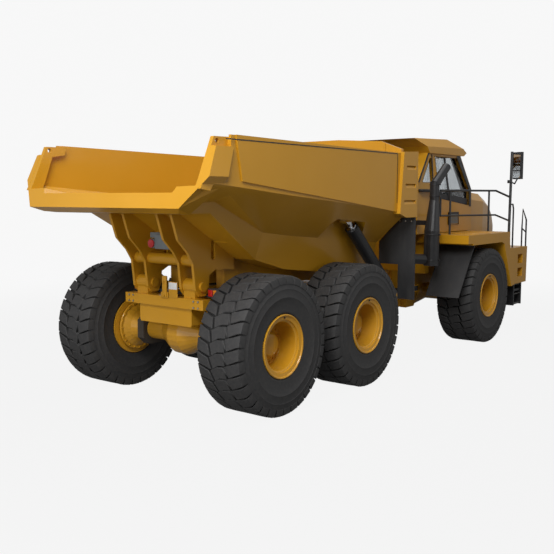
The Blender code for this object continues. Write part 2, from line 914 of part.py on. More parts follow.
def tail_lamps():
    """Two lamp housings on one bar across the back of the frame."""
    item = block("tail_lamps", (-0.20, -0.14), (-0.66, 0.66), (LAMP_BAR_Z, 1.45))
    for side in (-1, 1):
        unite(item, [block("lamp_box", (-0.22, -0.10), (side * 0.60, side * 0.78), (LAMP_BAR_Z, 1.53))])
    return finish(item, "dark_plastic")


# Hitch

def hitch():
    """Upright barrel on the steering pins and the tube that the rear frame turns on."""
    low, high = HITCH_Z - HITCH_HALF_HEIGHT, HITCH_Z + HITCH_HALF_HEIGHT
    item = bar("hitch", (HITCH, 0.0, low), (HITCH, 0.0, high), HITCH_BARREL_RADIUS, 28)
    neck = bar(
        "neck",
        (HITCH_SLEEVE_END + FACE_GAP, 0.0, HITCH_Z),
        (HITCH, 0.0, HITCH_Z),
        HITCH_SLEEVE_RADIUS,
        28,
        0.15,
    )
    tube = bar("tube", (3.60, 0.0, HITCH_Z), (4.15, 0.0, HITCH_Z), HITCH_TUBE_RADIUS, 28)
    ears = []
    for side in (-1, 1):
        for z in (
            HITCH_Z - STEER_EYE_HALF - FACE_GAP - STEER_PLATE,
            HITCH_Z + STEER_EYE_HALF + FACE_GAP,
        ):
            ears.append(
                block("steer_ear", (4.09, 4.23), (side * 0.05, side * 0.42), (z, z + STEER_PLATE))
            )
    unite(item, [neck, tube] + ears)
    cut(item, [bar("pin_bore", (HITCH, 0.0, 0.5), (HITCH, 0.0, 1.6), HITCH_PIN_RADIUS + PIN_GAP, 24)])
    set_origin(item, HITCH, 0.0, HITCH_Z)
    return finish(item, "yellow_paint")


# Front frame

def front_frame():
    """Two rails joined at the hitch lugs, with crossmembers and a nose plate."""
    outline = [
        (5.20, 0.66),
        (5.20, 1.40),
        (6.9, 1.40),
        (7.2, 1.22),
        (9.10, 1.22),
        (9.10, 0.90),
        (7.2, 0.90),
        (6.9, 1.06),
        (5.8, 1.06),
        (5.5, 0.66),
    ]
    frame = plate("front_frame", "side", outline, RAIL_INNER, RAIL_OUTER)
    pieces = [plate("rail", "side", outline, -RAIL_OUTER, -RAIL_INNER)]
    pieces.append(
        block("neck", (4.85, 5.30), (-RAIL_INNER - 0.01, RAIL_INNER + 0.01), (0.67, NECK_TOP))
    )
    pieces.append(
        block("rear_cross", (5.24, 5.36), (-RAIL_OUTER + 0.01, RAIL_OUTER - 0.01), (0.68, 1.38))
    )
    pieces.append(block("mid_cross", (6.0, 6.2), (-RAIL_OUTER + 0.01, RAIL_OUTER - 0.01), (1.24, 1.36)))
    pieces.append(block("nose_plate", (9.0, 9.11), (-RAIL_OUTER, RAIL_OUTER), (0.88, 1.24)))
    lug = [
        (4.90, -0.34),
        (4.90, 0.34),
        (HITCH + 0.05, 0.16),
        (HITCH - 0.10, 0.12),
        (HITCH - 0.15, 0.0),
        (HITCH - 0.10, -0.12),
        (HITCH + 0.05, -0.16),
    ]
    low, high = HITCH_Z - HITCH_HALF_HEIGHT - FACE_GAP, HITCH_Z + HITCH_HALF_HEIGHT + FACE_GAP
    pieces.append(plate("lower_lug", "top", lug, low - 0.05, low))
    pieces.append(plate("upper_lug", "top", lug, high, high + 0.05))
    pieces.append(
        bar("steering_pin", (HITCH, 0.0, low - 0.07), (HITCH, 0.0, high + 0.07), HITCH_PIN_RADIUS, 24)
    )
    ear = [
        (HOOD_HINGE[0] - 0.12, 1.20),
        (HOOD_HINGE[0] - 0.04, 1.20),
        (HOOD_HINGE[0] - 0.035, HOOD_HINGE[1] - 0.04),
        (HOOD_HINGE[0] + 0.016, HOOD_HINGE[1] - 0.0235),
        (HOOD_HINGE[0] + 0.0245, HOOD_HINGE[1] - 0.006),
        (HOOD_HINGE[0] + 0.0245, HOOD_HINGE[1] + 0.006),
        (HOOD_HINGE[0] + 0.013, HOOD_HINGE[1] + 0.0215),
        (HOOD_HINGE[0], HOOD_HINGE[1] + 0.0245),
        (HOOD_HINGE[0] - 0.05, HOOD_HINGE[1] + 0.0235),
        (HOOD_HINGE[0] - 0.12, HOOD_HINGE[1] - 0.03),
    ]
    axle_top = AXLE_Z + BEAM_RADIUS + GAP
    for side in (-1, 1):
        pieces.append(plate("hood_ear", "side", ear, side * (HOOD_EAR - 0.03), side * HOOD_EAR))
        pieces.append(
            bar(
                "hood_pin",
                (HOOD_HINGE[0], side * (HOOD_EAR - 0.02), HOOD_HINGE[1]),
                (HOOD_HINGE[0], side * (HOOD_EAR + 0.08), HOOD_HINGE[1]),
                0.018,
                12,
            )
        )
        pieces.append(
            block(
                "hood_rest",
                (7.32, 7.42),
                (side * (RAIL_OUTER - 0.04), side * 0.76),
                (1.12, HOOD_BOTTOM - GAP),
            )
        )
        pieces.append(
            block(
                "axle_seat",
                (FRONT_AXLE - 0.12, FRONT_AXLE + 0.12),
                (side * (RAIL_INNER + 0.01), side * (RAIL_OUTER - 0.01)),
                (axle_top, 1.10),
            )
        )
        for z in (
            HITCH_Z - STEER_EYE_HALF - FACE_GAP - STEER_PLATE,
            HITCH_Z + STEER_EYE_HALF + FACE_GAP,
        ):
            pieces.append(
                block(
                    "steer_mount",
                    (5.28, 5.42),
                    (side * (RAIL_OUTER - 0.06), side * (RAIL_OUTER + 0.16)),
                    (z, z + STEER_PLATE),
                )
            )
        pieces.append(
            block("deck_mount", (5.30, 5.45), (side * (RAIL_OUTER - 0.06), side * 0.80), (1.30, 1.86))
        )
        pieces.append(
            block(
                "deck_post",
                (5.30, 5.45),
                (side * 0.66, side * 0.80),
                (1.40, DECK_TOP - DECK_THICKNESS - GAP),
            )
        )
        pieces.append(
            block(
                "front_mount",
                (7.30, 7.45),
                (side * (RAIL_OUTER - 0.06), side * (FENDER_INNER - GAP)),
                (1.02, 1.18),
            )
        )
    unite(frame, pieces)
    set_origin(frame, HITCH, 0.0, HITCH_Z)
    return finish(frame, "yellow_paint")


def engine():
    """Engine as one plain block between the rails."""
    item = block("engine", (7.35, 8.75), (-RAIL_INNER + GAP, RAIL_INNER - GAP), (1.0, 2.0))
    return finish(item, "cast_iron")


def bumper():
    """Front bumper across the nose."""
    outline = [(9.1103, -1.0), (9.1103, 1.0), (9.30, 1.0), (NOSE, 0.70), (NOSE, -0.70), (9.30, -1.0)]
    item = plate("front_bumper", "top", outline, 0.80, 1.32)
    for side in (-1, 1):
        cut(
            item,
            [
                block(
                    "lamp_pocket",
                    (HEADLAMP_DEPTH[0] - GAP, NOSE + 0.1),
                    (side * (0.30 - GAP), side * (0.62 + GAP)),
                    (HEADLAMP_LOW - GAP, HEADLAMP_HIGH + GAP),
                )
            ],
        )
    return finish(item, "yellow_paint")


def fender(name, side):
    """Deck over the front tyre, its leg ahead of the tyre and the step block."""
    outline = [
        (5.22, DECK_TOP - DECK_THICKNESS),
        (5.22, DECK_TOP),
        (DECK_FRONT, DECK_TOP),
        (DECK_FRONT, 1.90),
        (7.14, STEP_TOP),
        (8.04, STEP_TOP),
        (8.02, STEP_LOW),
        (7.46, STEP_LOW),
        (7.26, 0.955),
        (6.84, 1.81),
        (6.72, 1.84),
        (5.42, 1.84),
        (5.42, DECK_TOP - DECK_THICKNESS),
    ]
    item = plate(name, "side", outline, side * FENDER_INNER, side * FENDER_OUTER)
    inner = block(
        "inner_deck",
        (5.22, DECK_FRONT),
        (side * 0.66, side * (FENDER_INNER + 0.01)),
        (DECK_TOP - DECK_THICKNESS, DECK_TOP),
    )
    unite(item, [inner])
    for low, high in ((1.38, 1.56), (1.12, 1.29)):
        cut(
            item,
            [
                block(
                    "foothold",
                    (7.55, 7.80),
                    (side * (FENDER_OUTER - 0.18), side * (FENDER_OUTER + 0.1)),
                    (low, high),
                )
            ],
        )
    return finish(item, "yellow_paint")


def fender_flap(name, side):
    """Flap behind the front tyre, hung from the underside of the deck."""
    outline = [(5.61, 1.8397), (5.585, 1.8397), (4.96, 0.95), (4.985, 0.95)]
    item = plate(name, "side", outline, side * (FENDER_INNER + 0.01), side * (FENDER_OUTER - 0.05))
    return finish(item, "flap_rubber")


def cab_shell():
    """Cab posts, floor and lower panels in one hollow welded shell with window openings."""
    outer = CAB_OUTLINE
    shell = plate("cab_shell", "side", outer, -CAB_HALF, CAB_HALF)
    inner = plate("cab_space", "side", CAB_SPACE, -CAB_HALF + CAB_WALL, CAB_HALF - CAB_WALL)
    cuts = [inner]
    cuts.append(plate("right_window", "side", SIDE_WINDOW, -CAB_HALF - 0.1, -CAB_HALF + 0.2))
    cuts.append(plate("right_quarter", "side", QUARTER_WINDOW, -CAB_HALF - 0.1, -CAB_HALF + 0.2))
    cuts.append(plate("left_quarter", "side", QUARTER_WINDOW, CAB_HALF - 0.2, CAB_HALF + 0.1))
    cuts.append(plate("door_opening", "side", DOOR_OPENING, CAB_HALF - 0.2, CAB_HALF + 0.1))
    cuts.append(plate("windscreen", "front", symmetric(WINDSCREEN), 6.2, 7.5))
    cuts.append(block("rear_window", (4.7, 5.6), (0.16 - CAB_HALF, CAB_HALF - 0.16), (2.99, 3.40)))
    cut(shell, cuts)
    return finish(shell, "yellow_paint")


def cab_roof():
    """Roof cap with a visor ahead of the windscreen, a peak over the rear window and a skirt each side."""
    outline = [
        (5.28, 3.5003),
        (4.855, 3.712),
        (4.90, 3.722),
        (5.56, 3.742),
        (6.15, 3.757),
        (6.68, 3.61),
        (6.84, 3.53),
        (6.80, 3.5003),
    ]
    half = CAB_HALF + 0.04
    item = plate("cab_roof", "side", outline, -half, half)
    for side in (-1, 1):
        unite(
            item,
            [block("skirt", (5.34, 6.60), (side * (CAB_HALF + GAP), side * half), (3.467, 3.52))],
        )
    return finish(item, "yellow_paint")


def cab_door():
    """Left door frame, hinged at its rear edge."""
    item = plate("cab_door", "side", inset_outline(DOOR_OPENING, 0.008), CAB_HALF - CAB_WALL, CAB_HALF)
    cut(item, [plate("door_window", "side", DOOR_WINDOW, CAB_HALF - 0.2, CAB_HALF + 0.1)])
    set_origin(item, DOOR_HINGE[0], DOOR_HINGE[1], 2.8)
    return finish(item, "yellow_paint")


def inset_outline(outline, inset):
    """Shrink an outline toward its middle by about the same distance at each corner."""
    middle = Vector((sum(p[0] for p in outline), sum(p[1] for p in outline))) / len(outline)
    result = []
    for a, b in outline:
        away = Vector((a, b)) - middle
        result.append((a - math.copysign(inset, away.x), b - math.copysign(inset, away.y)))
    return result


def side_pane(name, outline, side):
    """A flat pane set in a side opening."""
    y = side * (CAB_HALF - CAB_WALL / 2.0)
    return plate(name, "side", inset_outline(outline, GAP), y - 0.004, y + 0.004)


def door_glass():
    """Pane in the door."""
    item = side_pane("door_glass", DOOR_WINDOW, 1)
    set_origin(item, DOOR_HINGE[0], DOOR_HINGE[1], 2.8)
    return finish(item, "tinted_glass")


def cab_glazing():
    """Band of glass inside the posts: windscreen, right side, rear and both quarters."""
    band = plate("cab_glazing", "side", inset_outline(CAB_SPACE, GAP), -GLASS_HALF, GLASS_HALF)
    space = plate(
        "glass_space",
        "side",
        inset_outline(CAB_SPACE, GLASS),
        GLASS - GLASS_HALF,
        GLASS_HALF - GLASS,
    )
    low, high = CAB_FLOOR_Z, 3.6
    doorway = inset_outline(DOOR_OPENING, 0.01)
    for index in (0, 1):
        doorway[index] = (doorway[index][0] - DOOR_SWEEP, doorway[index][1] + DOOR_SWEEP)
    cuts = [
        space,
        block("under_glass", (4.8, 7.4), (-1.0, 1.0), (low, 2.48)),
        block("over_glass", (4.8, 7.4), (-1.0, 1.0), (3.44, high)),
        plate("doorway", "side", doorway, CAB_HALF - 0.2, CAB_HALF + 0.1),
    ]
    cut(band, cuts)
    return finish(band, "tinted_glass")


def headlamp(name, side):
    """Headlamp set in the bumper's pocket."""
    item = block(name, HEADLAMP_DEPTH, (side * 0.30, side * 0.62), (HEADLAMP_LOW, HEADLAMP_HIGH))
    return finish(item, "lamp_plastic")


def drive_shaft(name, start, end):
    """Drive shaft with a flange at each end."""
    item = bar(name, (start, 0.0, AXLE_Z), (end, 0.0, AXLE_Z), 0.05, 16)
    unite(item, [bar("flange", (spot, 0.0, AXLE_Z), (spot + turn * 0.03, 0.0, AXLE_Z), 0.10, 16) for spot, turn in ((start, 1), (end, -1))])
    return finish(item, "cast_iron")


def seat():
    """Operator's seat on a pedestal."""
    item = block("operator_seat", (5.85, 6.05), (-0.12, 0.12), (CAB_FLOOR_Z + 0.0503, 2.40))
    pieces = [
        block("cushion", (5.70, 6.22), (-0.26, 0.26), (2.36, 2.52)),
        plate(
            "backrest",
            "side",
            [(5.62, 2.42), (5.50, 3.10), (5.62, 3.12), (5.78, 2.46)],
            -0.25,
            0.25,
        ),
        plate(
            "headrest",
            "side",
            [(5.49, 3.08), (5.45, 3.34), (5.55, 3.35), (5.60, 3.09)],
            -0.14,
            0.14,
        ),
    ]
    unite(item, pieces)
    return finish(item, "seat_cloth")


def dashboard():
    """Dashboard with the steering column and wheel."""
    item = plate(
        "dashboard",
        "side",
        [
            (6.78, CAB_FLOOR_Z + 0.0503),
            (6.70, 2.74),
            (6.84, 2.80),
            (7.06, 2.66),
            (7.06, CAB_FLOOR_Z + 0.0503),
        ],
        0.12 - CAB_HALF,
        CAB_HALF - 0.12,
    )
    column = bar("column", (6.80, 0.0, 2.55), (6.50, 0.0, 2.80), 0.035, 12)
    wheel = bar("wheel", (6.51, 0.0, 2.79), (6.48, 0.0, 2.815), 0.21, 24)
    unite(item, [column, wheel])
    return finish(item, "dark_plastic")


def exhaust():
    """Exhaust behind the cab on the right: elbow, silencer, tapering stack and slanted outlet."""
    y = -1.15
    item = bar("exhaust_stack", (4.85, y, 1.50), (4.86, y, 2.10), 0.135, 20)
    elbow = pipe("elbow", [(4.62, -0.95, 1.62), (4.85, y, 1.60)], 0.085)
    taper = bar("taper", (4.86, y, 2.09), (4.925, y, 2.62), 0.134, 20, 0.085)
    upper = bar("upper", (4.925, y, 2.60), (4.93, y, 2.95), 0.084, 20)
    outlet = bar("outlet", (4.93, y, 2.90), (5.37, y, 3.22), 0.078, 20)
    bracket = block("stack_bracket", (4.82, 4.90), (y + 0.02, -COOLING_HALF - GAP), (2.20, 2.28))
    unite(item, [elbow, taper, upper, outlet, bracket])
    cut(item, [bar("outlet_bore", (5.20, y, 3.096), (5.60, y, 3.387), 0.065, 20)])
    return finish(item, "black_paint")


def cooling_box():
    """Box behind the cab across the frame."""
    item = block(
        "cooling_box",
        (4.70, CAB_REAR - GAP),
        (-COOLING_HALF, COOLING_HALF),
        (NECK_TOP + GAP, 2.77),
    )
    return finish(item, "yellow_paint")


def handrail(name, side):
    """Rail beside the deck with its posts and the mirror on its arm; the left one leaves the door free."""
    foot = DECK_TOP + GAP
    y = side * 1.20
    outer = side * (FENDER_OUTER - 0.05)
    post = DECK_FRONT + 0.045
    start = post if side > 0 else 5.06
    item = pipe(name, [(start, y, 2.80), (7.50, y, 2.81), (post, outer, 2.685)], 0.02)
    pieces = [pipe("mid_rail", [(start, y, 2.36), (7.50, y, 2.33), (post, outer, 2.23)], 0.018)]
    pieces.append(bar("post", (post, y, 1.94), (post, y, 2.80), 0.02, 8))
    pieces.append(block("post_foot", (DECK_FRONT + GAP, post), (y - 0.03, y + 0.03), (1.93, 1.99)))
    if side < 0:
        pieces.append(bar("rear_post", (5.45, y, foot), (5.45, y, 2.80), 0.02, 8))
        pieces.append(bar("end_post", (start, y, 2.36), (start, y, 2.80), 0.02, 8))
    pieces.append(bar("mirror_post", (post, outer, 1.94), (post + 0.045, outer, 3.55), 0.027, 8))
    pieces.append(
        block("mirror_foot", (DECK_FRONT + GAP, post), (outer - 0.03, outer + 0.03), (1.93, 1.99))
    )
    pieces.append(bar("mirror_arm", (post + 0.04, outer, 3.52), (7.42, side * 1.665, 3.52), 0.02, 8))
    pieces.append(
        pipe(
            "mirror_arm_low",
            [(post + 0.02, outer, 2.98), (7.33, side * 1.64, 2.94), (7.43, side * 1.665, 3.06)],
            0.014,
        )
    )
    pieces.append(
        pipe(
            "grab_loop",
            [
                (post, outer, 2.545),
                (7.38, side * 1.60, 2.545),
                (7.42, side * 1.60, 2.46),
                (7.42, side * 1.60, STEP_TOP + GAP),
            ],
            0.016,
        )
    )
    pieces.append(plate("mirror_head", "top", mirror_outline(side), 3.03, 3.55))
    unite(item, pieces)
    return finish(item, "black_paint")


def mirror_outline(side):
    """The mirror head seen from above, turned toward the operator."""
    centre = Vector((7.42, side * 1.665))
    across = Vector((0.407, -side * 0.914)) * 0.105
    depth = Vector((0.914, side * 0.407)) * 0.03
    return [
        tuple(centre + across - depth),
        tuple(centre - across - depth),
        tuple(centre - across + depth),
        tuple(centre + across + depth),
    ]


def step_rail(name, side):
    """Grab loop at the front edge of the steps."""
    foot = STEP_TOP + GAP
    rear, front = side * 1.59, side * 1.645
    item = pipe(
        name,
        [
            (7.93, rear, foot),
            (7.93, rear, 2.06),
            (7.96, rear, 2.44),
            (8.01, front, 2.23),
            (8.01, front, foot),
        ],
        0.016,
    )
    unite(item, [bar("cross", (7.93, rear, 2.06), (8.01, front, 1.98), 0.014, 8)])
    return finish(item, "black_paint")


def ladder(name, side):
    """Steps hung under the step block."""
    top = STEP_LOW - GAP
    inner, outer = side * (FENDER_OUTER - 0.27), side * (FENDER_OUTER - 0.05)
    item = block(name, (7.50, 7.54), (inner, outer), (0.54, top))
    pieces = [block("rail", (7.88, 7.92), (inner, outer), (0.54, top))]
    for z in (0.55, 0.82):
        pieces.append(
            block("rung", (7.52, 7.90), (inner + side * 0.02, outer - side * 0.02), (z, z + 0.04))
        )
    unite(item, pieces)
    return finish(item, "black_paint")


HOOD_SECTIONS = [
    # station, half width, shoulder z
    (7.26, 0.72, 2.64),
    (8.10, 0.68, 2.59),
    (8.62, 0.60, 2.45),
    (8.95, 0.52, 2.28),
    (9.15, 0.47, 2.06),
]


def hood():
    """Hood shell, open below and behind, tipping forward on its front hinge."""
    outer = [hood_section(*row) for row in HOOD_SECTIONS]
    shell = loft("hood", outer)
    shifts = [-0.05] + [0.0] * (len(outer) - 2) + [-0.05]
    space = loft("hood_space", [shrink(section, shift, 0.03) for section, shift in zip(outer, shifts)])
    cut(shell, [space])
    knuckles, bores = [], []
    for side in (-1, 1):
        near, far = side * (HOOD_EAR + FACE_GAP), side * (HOOD_EAR + 0.075)
        knuckles.append(
            bar(
                "knuckle",
                (HOOD_HINGE[0], near, HOOD_HINGE[1]),
                (HOOD_HINGE[0], far, HOOD_HINGE[1]),
                0.046,
                12,
            )
        )
        bores.append(
            bar(
                "knuckle_bore",
                (HOOD_HINGE[0], near - 0.1, HOOD_HINGE[1]),
                (HOOD_HINGE[0], far + 0.1, HOOD_HINGE[1]),
                0.018 + PIN_GAP,
                12,
            )
        )
    unite(shell, knuckles)
    cut(shell, bores)
    set_origin(shell, HOOD_HINGE[0], 0.0, HOOD_HINGE[1])
    return finish(shell, "yellow_paint")


def hood_section(station, half, shoulder_z):
    """One cross-section of the hood: two sides, two chamfers and the top."""
    low, top = HOOD_BOTTOM, shoulder_z + 0.16
    return [(station, y, z) for y, z in ((half, low), (half, shoulder_z), (half - 0.12, top), (0.12 - half, top), (-half, shoulder_z), (-half, low))]


def shrink(section, shift, wall):
    """Move a section's points inward by a wall and along the truck by shift."""
    points = []
    for station, y, z in section:
        inward = y - math.copysign(wall, y)
        points.append((station + shift, inward, z - wall if z > 1.5 else z - 0.2))
    return points


# Cylinders

def hoist_points():
    """Foot and head of the hoist cylinder at rest, as station and z."""
    return Vector(HOIST_FOOT), Vector(HOIST_HEAD)


def hoist(place, side):
    """Two-stage hoist cylinder: barrel, middle stage and rod."""
    foot, head = hoist_points()
    along = (head - foot).normalized()
    y = side * HOIST_Y

    def point(distance):
        spot = foot + along * distance
        return (spot.x, y, spot.y)

    length = (head - foot).length
    eye = bar("hoist_barrel_" + place, (foot.x, y - 0.05, foot.y), (foot.x, y + 0.05, foot.y), 0.10, 20)
    barrel = bar("barrel", point(0.06), point(length - 0.20), 0.10, 20)
    unite(eye, [barrel])
    cut(eye, [
        bar("bore", point(0.09), point(length), 0.08, 20),
        bar("foot_bore", (foot.x, y - 0.2, foot.y), (foot.x, y + 0.2, foot.y), 0.038 + PIN_GAP, 16),
    ])
    set_origin(eye, foot.x, y, foot.y)
    finish(eye, "black_paint")
    stage = bar("hoist_stage_" + place, point(0.10), point(length - 0.16), 0.08 - FACE_GAP, 20)
    cut(stage, [bar("stage_bore", point(0.13), point(length), 0.045 + FACE_GAP, 16)])
    set_origin(stage, foot.x, y, foot.y)
    finish(stage, "chrome_rod")
    rod = bar("hoist_rod_" + place, point(0.14), point(length - 0.05), 0.045, 16)
    unite(
        rod,
        [
            bar(
                "rod_eye",
                (head.x, y - HOIST_EYE_HALF, head.y),
                (head.x, y + HOIST_EYE_HALF, head.y),
                0.085,
                20,
            )
        ],
    )
    set_origin(rod, foot.x, y, foot.y)
    finish(rod, "chrome_rod")


def steering_cylinder(place, side):
    """Steering cylinder from the front frame to the hitch ear."""
    foot = (STEER_FOOT[0], side * STEER_FOOT[1])
    head = (STEER_HEAD[0], side * STEER_HEAD[1])
    start, end = Vector(foot), Vector(head)
    along = (end - start).normalized()
    length = (end - start).length

    def point(distance):
        spot = start + along * distance
        return (spot.x, spot.y, HITCH_Z)

    barrel = bar(
        "steering_barrel_" + place,
        (start.x, start.y, HITCH_Z - STEER_EYE_HALF),
        (start.x, start.y, HITCH_Z + STEER_EYE_HALF),
        0.055,
        16,
    )
    unite(barrel, [bar("tube", point(0.03), point(0.83), 0.041, 16)])
    cut(barrel, [bar("bore", point(0.07), point(length), 0.028, 16)])
    set_origin(barrel, start.x, start.y, HITCH_Z)
    finish(barrel, "black_paint")
    rod = bar("steering_rod_" + place, point(0.39), point(length - 0.03), 0.028 - FACE_GAP, 16)
    unite(
        rod,
        [
            bar(
                "eye",
                (end.x, end.y, HITCH_Z - STEER_EYE_HALF),
                (end.x, end.y, HITCH_Z + STEER_EYE_HALF),
                0.05,
                16,
            )
        ],
    )
    set_origin(rod, start.x, start.y, HITCH_Z)
    finish(rod, "chrome_rod")


SIDES = [("left", 1), ("right", -1)]


def build():
    """Make every piece of the truck."""
    clear_scene()
    make_collections()
    make_materials()
    for place, station, side in WHEEL_TABLE:
        tyre(place, station, side)
        rim(place, station, side)
    axle("rear_axle", 0.0)
    axle("mid_axle", MID_AXLE)
    axle("front_axle", FRONT_AXLE)
    dump_body()
    rear_frame()
    tail_lamps()
    hitch()
    front_frame()
    engine()
    bumper()
    cab_shell()
    cab_roof()
    cab_door()
    door_glass()
    cab_glazing()
    drive_shaft("drive_shaft_rear", DIFFERENTIAL_RADIUS + GAP, TANDEM - DIFFERENTIAL_RADIUS - GAP)
    seat()
    dashboard()
    exhaust()
    cooling_box()
    hood()
    for place, side in SIDES:
        body_flap("body_flap_" + place, side)
        walking_beam("walking_beam_" + place, side)
        fender("fender_" + place, side)
        fender_flap("fender_flap_" + place, side)
        handrail("handrail_" + place, side)
        step_rail("step_rail_" + place, side)
        ladder("ladder_" + place, side)
        headlamp("headlamp_" + place, side)
        hoist(place, side)
        steering_cylinder(place, side)


build()
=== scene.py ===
"""Articulated dump truck: finishes, tread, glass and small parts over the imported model."""

import json
import math

import bmesh
import bpy
from mathutils import Matrix, Vector

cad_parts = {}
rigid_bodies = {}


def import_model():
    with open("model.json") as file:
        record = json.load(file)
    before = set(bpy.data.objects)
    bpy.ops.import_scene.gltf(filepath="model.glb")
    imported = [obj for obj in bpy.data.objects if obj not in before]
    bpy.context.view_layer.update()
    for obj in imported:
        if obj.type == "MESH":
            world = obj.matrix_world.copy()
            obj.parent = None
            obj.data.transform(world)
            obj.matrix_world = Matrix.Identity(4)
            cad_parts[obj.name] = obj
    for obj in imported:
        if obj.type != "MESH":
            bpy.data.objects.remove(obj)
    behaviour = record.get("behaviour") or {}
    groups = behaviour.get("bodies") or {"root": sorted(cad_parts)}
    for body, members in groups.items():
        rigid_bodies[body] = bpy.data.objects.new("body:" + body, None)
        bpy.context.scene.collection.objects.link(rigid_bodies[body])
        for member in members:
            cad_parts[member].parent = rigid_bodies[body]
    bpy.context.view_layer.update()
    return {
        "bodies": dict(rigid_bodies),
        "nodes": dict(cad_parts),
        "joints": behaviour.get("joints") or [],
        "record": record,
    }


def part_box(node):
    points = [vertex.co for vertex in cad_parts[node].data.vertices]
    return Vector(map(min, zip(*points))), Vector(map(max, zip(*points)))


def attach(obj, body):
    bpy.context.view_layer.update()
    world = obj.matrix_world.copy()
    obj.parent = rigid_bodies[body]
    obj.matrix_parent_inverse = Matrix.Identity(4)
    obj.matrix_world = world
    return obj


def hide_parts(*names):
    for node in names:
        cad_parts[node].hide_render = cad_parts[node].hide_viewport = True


bl_info = {
    "name": "Articulated dump truck",
    "version": (1, 0, 0),
    "blender": (4, 5, 0),
    "location": "View3D > Sidebar > Dump truck",
    "description": "Dresses the packed dump truck and adds its tread, glass and small parts",
    "category": "Object",
}

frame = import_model()
NODES = frame["nodes"]

# Camera fitted to the photograph, in the model's frame
CAMERA_PLACE = (-11.3131, -7.2875, 2.6941)
CAMERA_YAW = 0.6647
CAMERA_PITCH = -0.104
CAMERA_LENS = 50.07


# Settings


def colour(name, text, value):
    """A colour setting."""
    return bpy.props.FloatVectorProperty(
        name=name, description=text, subtype="COLOR", size=3, min=0.0, max=1.0, default=value
    )


def length(name, text, value):
    """A length setting in metres."""
    return bpy.props.FloatProperty(name=name, description=text, unit="LENGTH", min=0.0, default=value)


class TruckColours(bpy.types.PropertyGroup):
    """Colours of the truck's finishes."""

    paint: colour("Paint", "Golden yellow of the sheet metal and frames", (0.56, 0.265, 0.005))
    dust: colour("Dust", "Pale dust low down and on flat tops", (0.36, 0.26, 0.15))
    black: colour("Black", "Satin black of rails, exhaust and cylinders", (0.012, 0.012, 0.013))
    rubber: colour("Rubber", "Tyre rubber", (0.026, 0.026, 0.027))
    glass: colour("Glass", "Tint of the cab glass", (0.52, 0.54, 0.55))
    floor: colour("Floor", "Pale studio floor and backdrop", (0.935, 0.935, 0.935))


class TruckSizes(bpy.types.PropertyGroup):
    """Sizes of what is laid over the model."""

    tread_blocks: bpy.props.IntProperty(
        name="Tread blocks", description="Blocks in each row round a tyre", min=12, max=60, default=34
    )
    tread_depth: length("Tread depth", "Depth of the grooves between the blocks", 0.045)


# Shader nodes written as sums


class Wire:
    """A node's output that takes part in Python sums."""

    def __init__(self, finish, socket):
        self.finish = finish
        self.socket = socket

    def maths(self, operation, first, second=0.0):
        return self.finish.node("Math", {"operation": operation}, {0: first, 1: second})

    def __add__(self, other):
        return self.maths("ADD", self, other)

    def __radd__(self, other):
        return self.maths("ADD", other, self)

    def __sub__(self, other):
        return self.maths("SUBTRACT", self, other)

    def __rsub__(self, other):
        return self.maths("SUBTRACT", other, self)

    def __mul__(self, other):
        return self.maths("MULTIPLY", self, other)

    def sine(self):
        return self.maths("SINE", self)

    def power(self, exponent):
        return self.maths("POWER", self, exponent)

    def least(self, other):
        return self.maths("MINIMUM", self, other)

    def step(self, low, high):
        """0 below low, 1 above high, smooth between."""
        return self.finish.node(
            "MapRange",
            {"interpolation_type": "SMOOTHSTEP"},
            {"Value": self, "From Min": low, "From Max": high},
        )


class Finish:
    """One material and the nodes that make it."""

    def __init__(self, name, base, roughness, metallic=0.0, **more):
        self.material = bpy.data.materials.new(name)
        self.material.use_nodes = True
        self.tree = self.material.node_tree
        self.shader = self.tree.nodes["Principled BSDF"]
        self.material.diffuse_color = (*base, 1.0)
        self.set("Base Color", (*base, 1.0))
        self.set("Roughness", roughness)
        self.set("Metallic", metallic)
        for socket, value in more.items():
            self.set(socket.replace("_", " "), value)

    def set(self, socket, value):
        self.feed(self.shader.inputs[socket], value)

    def feed(self, socket, value):
        if isinstance(value, Wire):
            self.tree.links.new(value.socket, socket)
        else:
            socket.default_value = value

    def node(self, kind, settings=None, values=None, out=0):
        """Add one node: its settings first, then the values or links of its sockets."""
        node = self.tree.nodes.new("ShaderNode" + kind)
        for name, value in (settings or {}).items():
            setattr(node, name, value)
        for key, value in (values or {}).items():
            self.feed(node.inputs[key], value)
        return Wire(self, node.outputs[out])

    def place(self, scale=(1.0, 1.0, 1.0)):
        """Object coordinates, stretched by scale."""
        where = self.node("TexCoord", out="Object")
        if scale == (1.0, 1.0, 1.0):
            return where
        return self.node("Mapping", {}, {"Vector": where, "Scale": scale})

    def axis(self, name):
        return self.node("SeparateXYZ", {}, {0: self.node("TexCoord", out="Object")}, out=name)

    def noise(self, scale, detail=3.0, roughness=0.55, stretch=(1.0, 1.0, 1.0)):
        values = {"Vector": self.place(stretch), "Scale": scale, "Detail": detail, "Roughness": roughness}
        return self.node("TexNoise", {}, values, out="Fac")

    def mix(self, amount, first, second):
        """Blend two colours, given as tuples or wires."""
        values = {"Factor": amount}
        for key, value in ((6, first), (7, second)):
            values[key] = value if isinstance(value, Wire) else (*value, 1.0)
        return self.node("Mix", {"data_type": "RGBA"}, values, out=2)

    def bump(self, height, strength=0.3, distance=0.001):
        values = {"Height": height, "Strength": strength, "Distance": distance}
        self.set("Normal", self.node("Bump", {}, values))
        return self

    def upward(self):
        """How far a surface faces the sky."""
        return self.node("SeparateXYZ", {}, {0: self.node("NewGeometry", out="Normal")}, out="Z")


def blend(first, second, amount):
    """A colour part way between two."""
    return tuple(a + (b - a) * amount for a, b in zip(first, second))


# Finishes

FINISHES = {}


